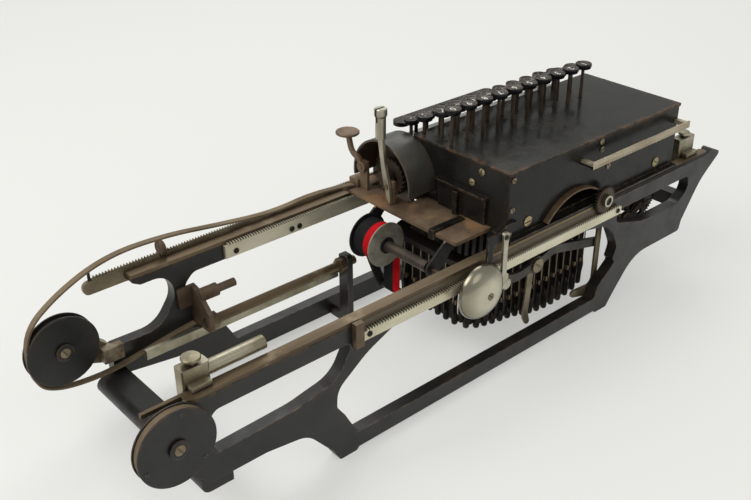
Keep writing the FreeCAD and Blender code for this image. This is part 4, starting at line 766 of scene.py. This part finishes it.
def ball_knob(shape, low, high):
    """Ball on a short neck, turned about X."""
    at = Vector((high.x, (low.y + high.y) / 2, (low.z + high.z) / 2))
    ball, neck = (high.y - low.y) / 2, 2.2 * MM
    middle = low.x - high.x + ball
    turns = [math.radians(a) for a in range(0, 160, 12)]
    profile = [(ball * math.sin(a), middle - ball * math.cos(a)) for a in turns]
    shape.lathe(at, "x", profile + [(neck, middle + ball * 0.92), (neck, 0), (0, 0)], steps=28)


def add_frame_screws():
    shape = Shape()
    for low, high in islands("frame_screws"):
        size = high - low
        if size.y < FLAT_HEAD and size.z < RACK_HEAD:
            shape.slotted(far_foot(low, high), "y", size.x / 2, size.y, random.uniform(0, math.pi), "dark")
        elif low.x > STUDS_AHEAD:
            drum_stud(shape, low, high)
        elif size.x < PIN_WIDE:
            guide_pin(shape, low, high)
        else:
            clamp_wheel(shape, low, high)
    screws = shape.build("dressed_frame_screws", ("dull", "brown", "drum", "dark"))
    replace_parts(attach(screws, "frame"), "frame_screws")


def guide_pin(shape, low, high):
    """Thin upright pin with a pointed end, which guides the strap."""
    at = Vector(((low.x + high.x) / 2, (low.y + high.y) / 2, low.z))
    radius, tall = 1.2 * MM, high.z - low.z
    pin = [(0, 0), (radius, 0), (radius, tall - MM), (radius / 2, tall), (0, tall)]
    shape.lathe(at, "z", pin, "dark", 16)


def drum_stud(shape, low, high):
    """Shoulder stud: a blackened collar with a slotted screw let into it."""
    at = far_foot(low, high)
    long, radius, shank, head = high.y - low.y, (high.x - low.x) / 2, 5 * MM, 2.5 * MM
    screw, sunk, tilt = radius * 0.56, 1.2 * MM, 0.5
    collar = [(0, 0), (shank, 0), (shank, long - head), (radius * 0.94, long - head),
              (radius, long - head + 0.4 * MM), (radius, long - 1 * MM), (radius * 0.9, long - 0.5 * MM),
              (screw * 1.08, long - 0.5 * MM), (screw * 1.06, long - sunk), (0, long - sunk)]
    shape.lathe(at, "y", collar, "drum", 40)
    shape.slotted(at + Vector((0, long - sunk, 0)), "y", screw, sunk, tilt)


def clamp_wheel(shape, low, high):
    """Clamp wheel in its notch of the tabulator bar, on a foot against the bar's outer side."""
    radius, wide, peg = 6.5 * MM, high.x - low.x, 1.5 * MM
    at = Vector((low.x, high.y - radius, high.z - radius))
    tall = at.z - low.z
    wheel = [(0, 0), (radius * 0.3, 0), (radius * 0.36, 0.1 * wide), (radius * 0.82, 0.1 * wide),
             (radius * 0.9, 0), (radius, 0.2 * wide), (radius, 0.8 * wide), (radius * 0.9, wide),
             (radius * 0.82, 0.9 * wide), (radius * 0.3, 0.9 * wide), (0, wide)]
    shape.lathe(at, "x", wheel, "brown", 44)
    foot = Vector((low.x + 0.5 * wide, at.y - 2 * MM, low.z))
    shape.lathe(foot, "z", [(0, 0), (peg, 0), (peg, tall - 3 * MM), (1.1 * MM, tall)], steps=16)


DRUM_SCREWS_AT, DRUM_SCREWS_OUT = (101, 221, 341), 0.43


def add_drum_screws():
    """Three small screws round the spring drum's outer flange."""
    low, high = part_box("spring_drum")
    middle = (low + high) / 2
    out, radius, head, sunk = (high.x - low.x) * DRUM_SCREWS_OUT, 1.7 * MM, 0.9 * MM, 0.3 * MM
    shape = Shape()
    for degrees in DRUM_SCREWS_AT:
        angle = math.radians(degrees)
        seat = Vector((middle.x + out * math.cos(angle), high.y - sunk, middle.z + out * math.sin(angle)))
        shape.slotted(seat, "y", radius, head, angle)
    screws = shape.build("drum_screws", ("lever",))
    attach(screws, "spring_drum")


# Bell: a smooth dome with a rolled rim and a slotted screw on its post

def add_bell():
    low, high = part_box("bell")
    at = far_foot(low, high)
    radius, tall = (high.x - low.x) / 2, high.y - low.y
    wall, rim, hole, head = 1.5 * MM, 1.2 * MM, 2.05 * MM, 1.3 * MM
    rise = tall - rim - head * 0.7
    screw, tilt = 3.1 * MM, 0.8

    def dome(r, h):
        turns = [math.radians(a) for a in range(0, 85, 5)]
        return [(r * math.cos(a), rim + h * math.sin(a)) for a in turns]
    outer = dome(radius, rise) + [(hole, rim + rise)]
    inner = dome(radius - wall, rise - wall) + [(hole, rim + rise - wall)]
    lip = [(radius - wall, 0.3 * MM), (radius - 0.7 * wall, 0), (radius - 0.2 * wall, 0), (radius, 0.35 * MM)]
    shape = Shape()
    shape.lathe(at, "y", list(reversed(inner)) + lip + outer + [(hole, rim + rise - wall)], "bell", 72)
    shape.slotted(at + Vector((0, tall - head, 0)), "y", screw, head, tilt, "dull")
    bell = shape.build("dressed_bell", ("bell", "dull"))
    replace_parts(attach(bell, "head"), "bell")


# Pinion: bright ring round its bearing eye

def add_pinion_ring():
    low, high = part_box("pinion")
    at = Vector(((low.x + high.x) / 2, high.y, (low.z + high.z) / 2))
    inner, outer, thick = 3.5 * MM, 5.4 * MM, 0.4 * MM
    ring = [(inner, -thick), (outer, -thick), (outer, 0), (outer * 0.96, thick), (inner * 1.04, thick),
            (inner, 0), (inner, -thick)]
    shape = Shape()
    shape.lathe(at, "y", ring, steps=40)
    piece = shape.build("pinion_ring", ("nickel",))
    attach(piece, "pinion")


# Type basket, in millimetres: a joint, a pull wire and a type block on every hanging bar, and thin bars
# between neighbours

BASKET_AT, BASKET_CORE = (-82, 8), (68, 29)
JOINT_RISE, JOINT_OUT, JOINT_NECK, JOINT_RADIUS, JOINT_TALL = 19.0, 0.6, 1.5, 2.3, 5
WIRE_TOP, WIRE_OUT, WIRE_RADIUS, WIRE_SUNK = 91.0, 2.6, 0.55, 2
BLOCKS_LOWEST, BLOCKS_RISE = (-115, 7.5), 0.0037
BLOCK_TALL, BLOCK_RADIUS, THIN_BLOCK_RADIUS, LEAST_DROP = 11.5, 2.9, 2.8, 1
RING_TOP, THIN_BAR_IN, THIN_BAR_LIFT = 94.0, 2, 2.5
THIN_BAR_DEEP, THIN_BAR_WIDE = 4.2, 4.4
THIN_BAR_BOWS = ((0, 0), (-0.8, 0.3), (-1.2, 0.6), (0.8, 0.85), (0, 0.97))


def outward(x, y):
    """Direction away from the basket's rounded oblong at a point in its plan."""
    dx, dy = x / MM - BASKET_AT[0], y / MM - BASKET_AT[1]
    past = Vector((abs(dx) - BASKET_CORE[0], abs(dy) - BASKET_CORE[1]))
    if min(past) > 0:
        past.normalize()
    else:
        past = Vector((1, 0)) if past.x > past.y else Vector((0, 1))
    return Vector((math.copysign(past.x, dx), math.copysign(past.y, dy), 0))


def block_drop(x, foot):
    """How far a type block reaches below the end of its bar: most under the rear half of the basket."""
    lowest = BLOCKS_LOWEST[1] + BLOCKS_RISE * (x / MM - BLOCKS_LOWEST[0]) ** 2
    return max(LEAST_DROP * MM, foot - lowest * MM)


def type_block(shape, at, radius, drop):
    """Rounded type block on the lower end of a bar."""
    tall = BLOCK_TALL * MM + drop
    profile = [(0, 0), (radius * 0.55, 0.25 * MM), (radius * 0.87, 1.1 * MM), (radius, 2.6 * MM),
               (radius, tall - 4.5 * MM), (radius * 0.75, tall - 2 * MM), (radius * 0.3, tall)]
    shape.lathe(at, "z", profile, "basket", 14)


def thin_bar(shape, at, out, foot):
    """Thin bowed bar that hangs from the ring between two others, with its own type block."""
    side = Vector((-out.y, out.x, 0))
    top = RING_TOP * MM
    route = [at + out * (bow * MM) + Vector((0, 0, top - (top - foot) * part)) for bow, part in THIN_BAR_BOWS]
    spots = spline_points(route, 6)
    shape.strip(spots, [side] * len(spots), out, THIN_BAR_DEEP * MM, THIN_BAR_WIDE * MM, "basket")
    type_block(shape, at + Vector((0, 0, foot)), THIN_BLOCK_RADIUS * MM, LEAST_DROP * MM)


def joint_and_wire(shape, spot, out, foot):
    """Brass joint on a bar and the wire that pulls it."""
    low = foot + JOINT_RISE * MM
    neck, radius, tall = JOINT_NECK * MM, JOINT_RADIUS * MM, JOINT_TALL * MM
    joint = [(0, 0), (neck, 0), (radius, 0.8 * MM), (radius, 4.2 * MM), (neck, tall), (0, tall)]
    shape.lathe(spot + out * (JOINT_OUT * MM) + Vector((0, 0, low)), "z", joint, "brass", 14)
    wire, start = WIRE_RADIUS * MM, low + WIRE_SUNK * MM
    long = WIRE_TOP * MM - start
    shape.lathe(spot + out * (WIRE_OUT * MM) + Vector((0, 0, start)), "z",
                [(0, 0), (wire, 0), (wire, long), (0, long)], "dull", 8)


def add_basket_links():
    shape = Shape()
    bars = []
    for low, high in islands("type_bars"):
        middle = (low + high) / 2
        turn = math.atan2(middle.y - BASKET_AT[1] * MM, middle.x - BASKET_AT[0] * MM)
        bars.append((turn, middle, low.z))
    bars.sort(key=lambda bar: bar[0])
    for k, (_, middle, foot) in enumerate(bars):
        spot = Vector((middle.x, middle.y, 0))
        joint_and_wire(shape, spot, outward(middle.x, middle.y), foot)
        drop = block_drop(middle.x, foot)
        type_block(shape, spot + Vector((0, 0, foot - drop)), BLOCK_RADIUS * MM, drop)
        _, next_middle, next_foot = bars[(k + 1) % len(bars)]
        between = (middle + next_middle) / 2
        out = outward(between.x, between.y)
        thin_bar(shape, Vector((between.x, between.y, 0)) - out * (THIN_BAR_IN * MM), out,
                 (foot + next_foot) / 2 - drop + THIN_BAR_LIFT * MM)
    links = shape.build("basket_links", ("brass", "dull", "basket"))
    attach(links, "head")


# Bell hammer: the round clapper on its lower end

def add_clapper():
    low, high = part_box("bell_hammer")
    radius, thick = 4.6 * MM, high.y - low.y
    at = Vector((low.x + 0.6 * MM, low.y, low.z + 2.5 * MM))
    profile = [(0, 0.2 * MM), (radius * 0.8, 0.2 * MM), (radius, 0.8 * MM), (radius, thick - 0.2 * MM),
               (radius * 0.8, thick + 0.5 * MM), (radius * 0.4, thick + 0.9 * MM), (0, thick + MM)]
    shape = Shape()
    shape.lathe(at, "y", profile, steps=32)
    clapper = shape.build("bell_clapper", ("nickel",))
    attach(clapper, "bell_hammer")


# Feed link, in millimetres: a bent arm with three bosses (x, z, radius) between the base and the feed
# wheel's near ear

LINK_Y, LINK_THICK, LINK_WIDE, BOSS_TALL = 56.6, 2.4, 6.5, 5
LINK_ROUTE = [(-188, 117), (-188, 96), (-187, 74), (-197, 66), (-212, 66), (-226, 74), (-236, 80)]
LINK_BOSSES = [(-189, 76, 6.2), (-205, 67.5, 7.4), (-236, 80, 6.0)]


def add_feed_link():
    spots = spline_points([(x * MM, LINK_Y * MM, z * MM) for x, z in LINK_ROUTE], 10)
    shape = Shape()
    shape.strip(spots, across(spots, SIDEWAYS), SIDEWAYS, LINK_THICK * MM, LINK_WIDE * MM, "wheel")
    for x, z, size in LINK_BOSSES:
        at = Vector((x, LINK_Y - LINK_THICK / 2, z)) * MM
        radius, tall = size * MM, BOSS_TALL * MM
        boss = [(0, 0), (radius, 0), (radius, tall - MM), (radius * 0.86, tall), (radius * 0.5, tall)]
        shape.lathe(at, "y", boss, "wheel", 32)
        # Any angle will do for a slot, and the boss's height gives each its own
        shape.slotted(at + Vector((0, tall - 0.4 * MM, 0)), "y", radius * 0.6, 1.4 * MM, z, "lever")
    link = shape.build("feed_link", ("wheel", "lever"))
    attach(link, "head")


# Strap, in millimetres: a flat tape on a smooth spline along the CAD route, its lower run lifted so that
# it is seen above the flat bar

STRAP_Y, STRAP_WIDE, STRAP_THICK, CLOTH_SHARP = -76.35, 5.3, 1.5, 50
STRAP_ROUTE = [(180.5, 56), (204, 53.2), (230, 48.8), (262, 44.4), (300, 48.5), (317, 62), (317, 104),
               (288, 126.5), (246, 142.5), (196, 141.5), (152, 134.5), (98, 127.5), (52, 131.5),
               (12.5, 125.5)]


def add_strap():
    """The lower run stays with the frame, and the upper one is baked into world place with no parent."""
    spots = spline_points([(x * MM, STRAP_Y * MM, z * MM) for x, z in STRAP_ROUTE], 14)
    normals = across(spots, SIDEWAYS)
    turn = max(range(len(spots)), key=lambda i: spots[i].x)
    runs = {"strap_lower": (0, turn + 1), "strap_upper": (turn, len(spots))}
    for name, (first, last) in runs.items():
        shape = Shape()
        shape.strip(spots[first:last], normals[first:last], SIDEWAYS, STRAP_WIDE * MM, STRAP_THICK * MM)
        run = shape.build(name, ("strap",), CLOTH_SHARP)
        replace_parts(run, "strap")
        if name == "strap_lower":
            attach(run, "frame")
        else:
            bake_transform(run)


BAND_INNER, BAND_THICK, BAND_PITCH = 25.2 * MM, 0.55 * MM, 0.6 * MM
BAND_TURNS, BAND_STEPS = 2.6, 200


def add_drum_band():
    """The band wound on the spring drum, its last turn lying on the ones below."""
    low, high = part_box("drum_band")
    at = (low + high) / 2
    spots = []
    for k in range(BAND_STEPS + 1):
        turns = BAND_TURNS * k / BAND_STEPS
        angle, radius = 2 * math.pi * turns, BAND_INNER + BAND_THICK / 2 + BAND_PITCH * turns
        spots.append(Vector((at.x + radius * math.cos(angle), at.y, at.z + radius * math.sin(angle))))
    shape = Shape()
    shape.strip(spots, across(spots, SIDEWAYS), SIDEWAYS, high.y - low.y, BAND_THICK)
    band = shape.build("wound_band", ("strap",), CLOTH_SHARP)
    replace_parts(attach(band, "spring_drum"), "drum_band")


# Ribbon: wound on the spool and hanging down to its guide

RIBBON_CORE, RIBBON_STEP, RIBBON_THICK = 7.1 * MM, 0.12 * MM, 0.25 * MM
RIBBON_LAYERS, RIBBON_TREADS = 16, 12
WOUND_SHARP, RIBBON_SHARP = 30, 60


def add_wound_ribbon():
    """One winding whose sides and tread are finely ridged by the turns."""
    low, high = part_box("left_ribbon")
    wide, radius = high.y - low.y, (high.x - low.x) / 2
    face = [(RIBBON_CORE + (radius - RIBBON_CORE) * k / RIBBON_LAYERS, RIBBON_STEP * (k % 2))
            for k in range(RIBBON_LAYERS + 1)]
    back = [(r, wide - h) for r, h in reversed(face)]
    tread = [(radius - RIBBON_STEP * (k % 2), wide * k / RIBBON_TREADS) for k in range(1, RIBBON_TREADS)]
    shape = Shape()
    shape.lathe(far_foot(low, high), "y", face + tread + back, steps=64)
    wound = shape.build("wound_ribbon", ("ribbon",), WOUND_SHARP)
    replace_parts(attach(wound, "left_spool"), "left_ribbon")


def add_hanging_ribbon():
    low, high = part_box("ribbon_strip")
    middle = (low.y + high.y) / 2
    hang, end = high.x - 0.3 * MM, low.x
    route = [(hang, high.z), (hang - 0.1 * MM, high.z - 20 * MM), (hang + 0.1 * MM, high.z - 42 * MM),
             (hang, low.z + 4 * MM), (hang - 1.5 * MM, low.z + 0.4 * MM), (end, low.z + 0.3 * MM)]
    spots = spline_points([(x, middle, z) for x, z in route], 10)
    shape = Shape()
    shape.strip(spots, across(spots, SIDEWAYS), SIDEWAYS, high.y - low.y, RIBBON_THICK)
    strip = shape.build("hanging_ribbon", ("ribbon",), RIBBON_SHARP)
    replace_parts(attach(strip, "head"), "ribbon_strip")


add_camera()
light_scene()
add_floor()
dress_nodes()
add_keys()
add_head_screws()
add_frame_screws()
add_drum_screws()
add_bell()
add_pinion_ring()
add_basket_links()
add_clapper()
add_feed_link()
add_strap()
add_drum_band()
add_wound_ribbon()
add_hanging_ribbon()
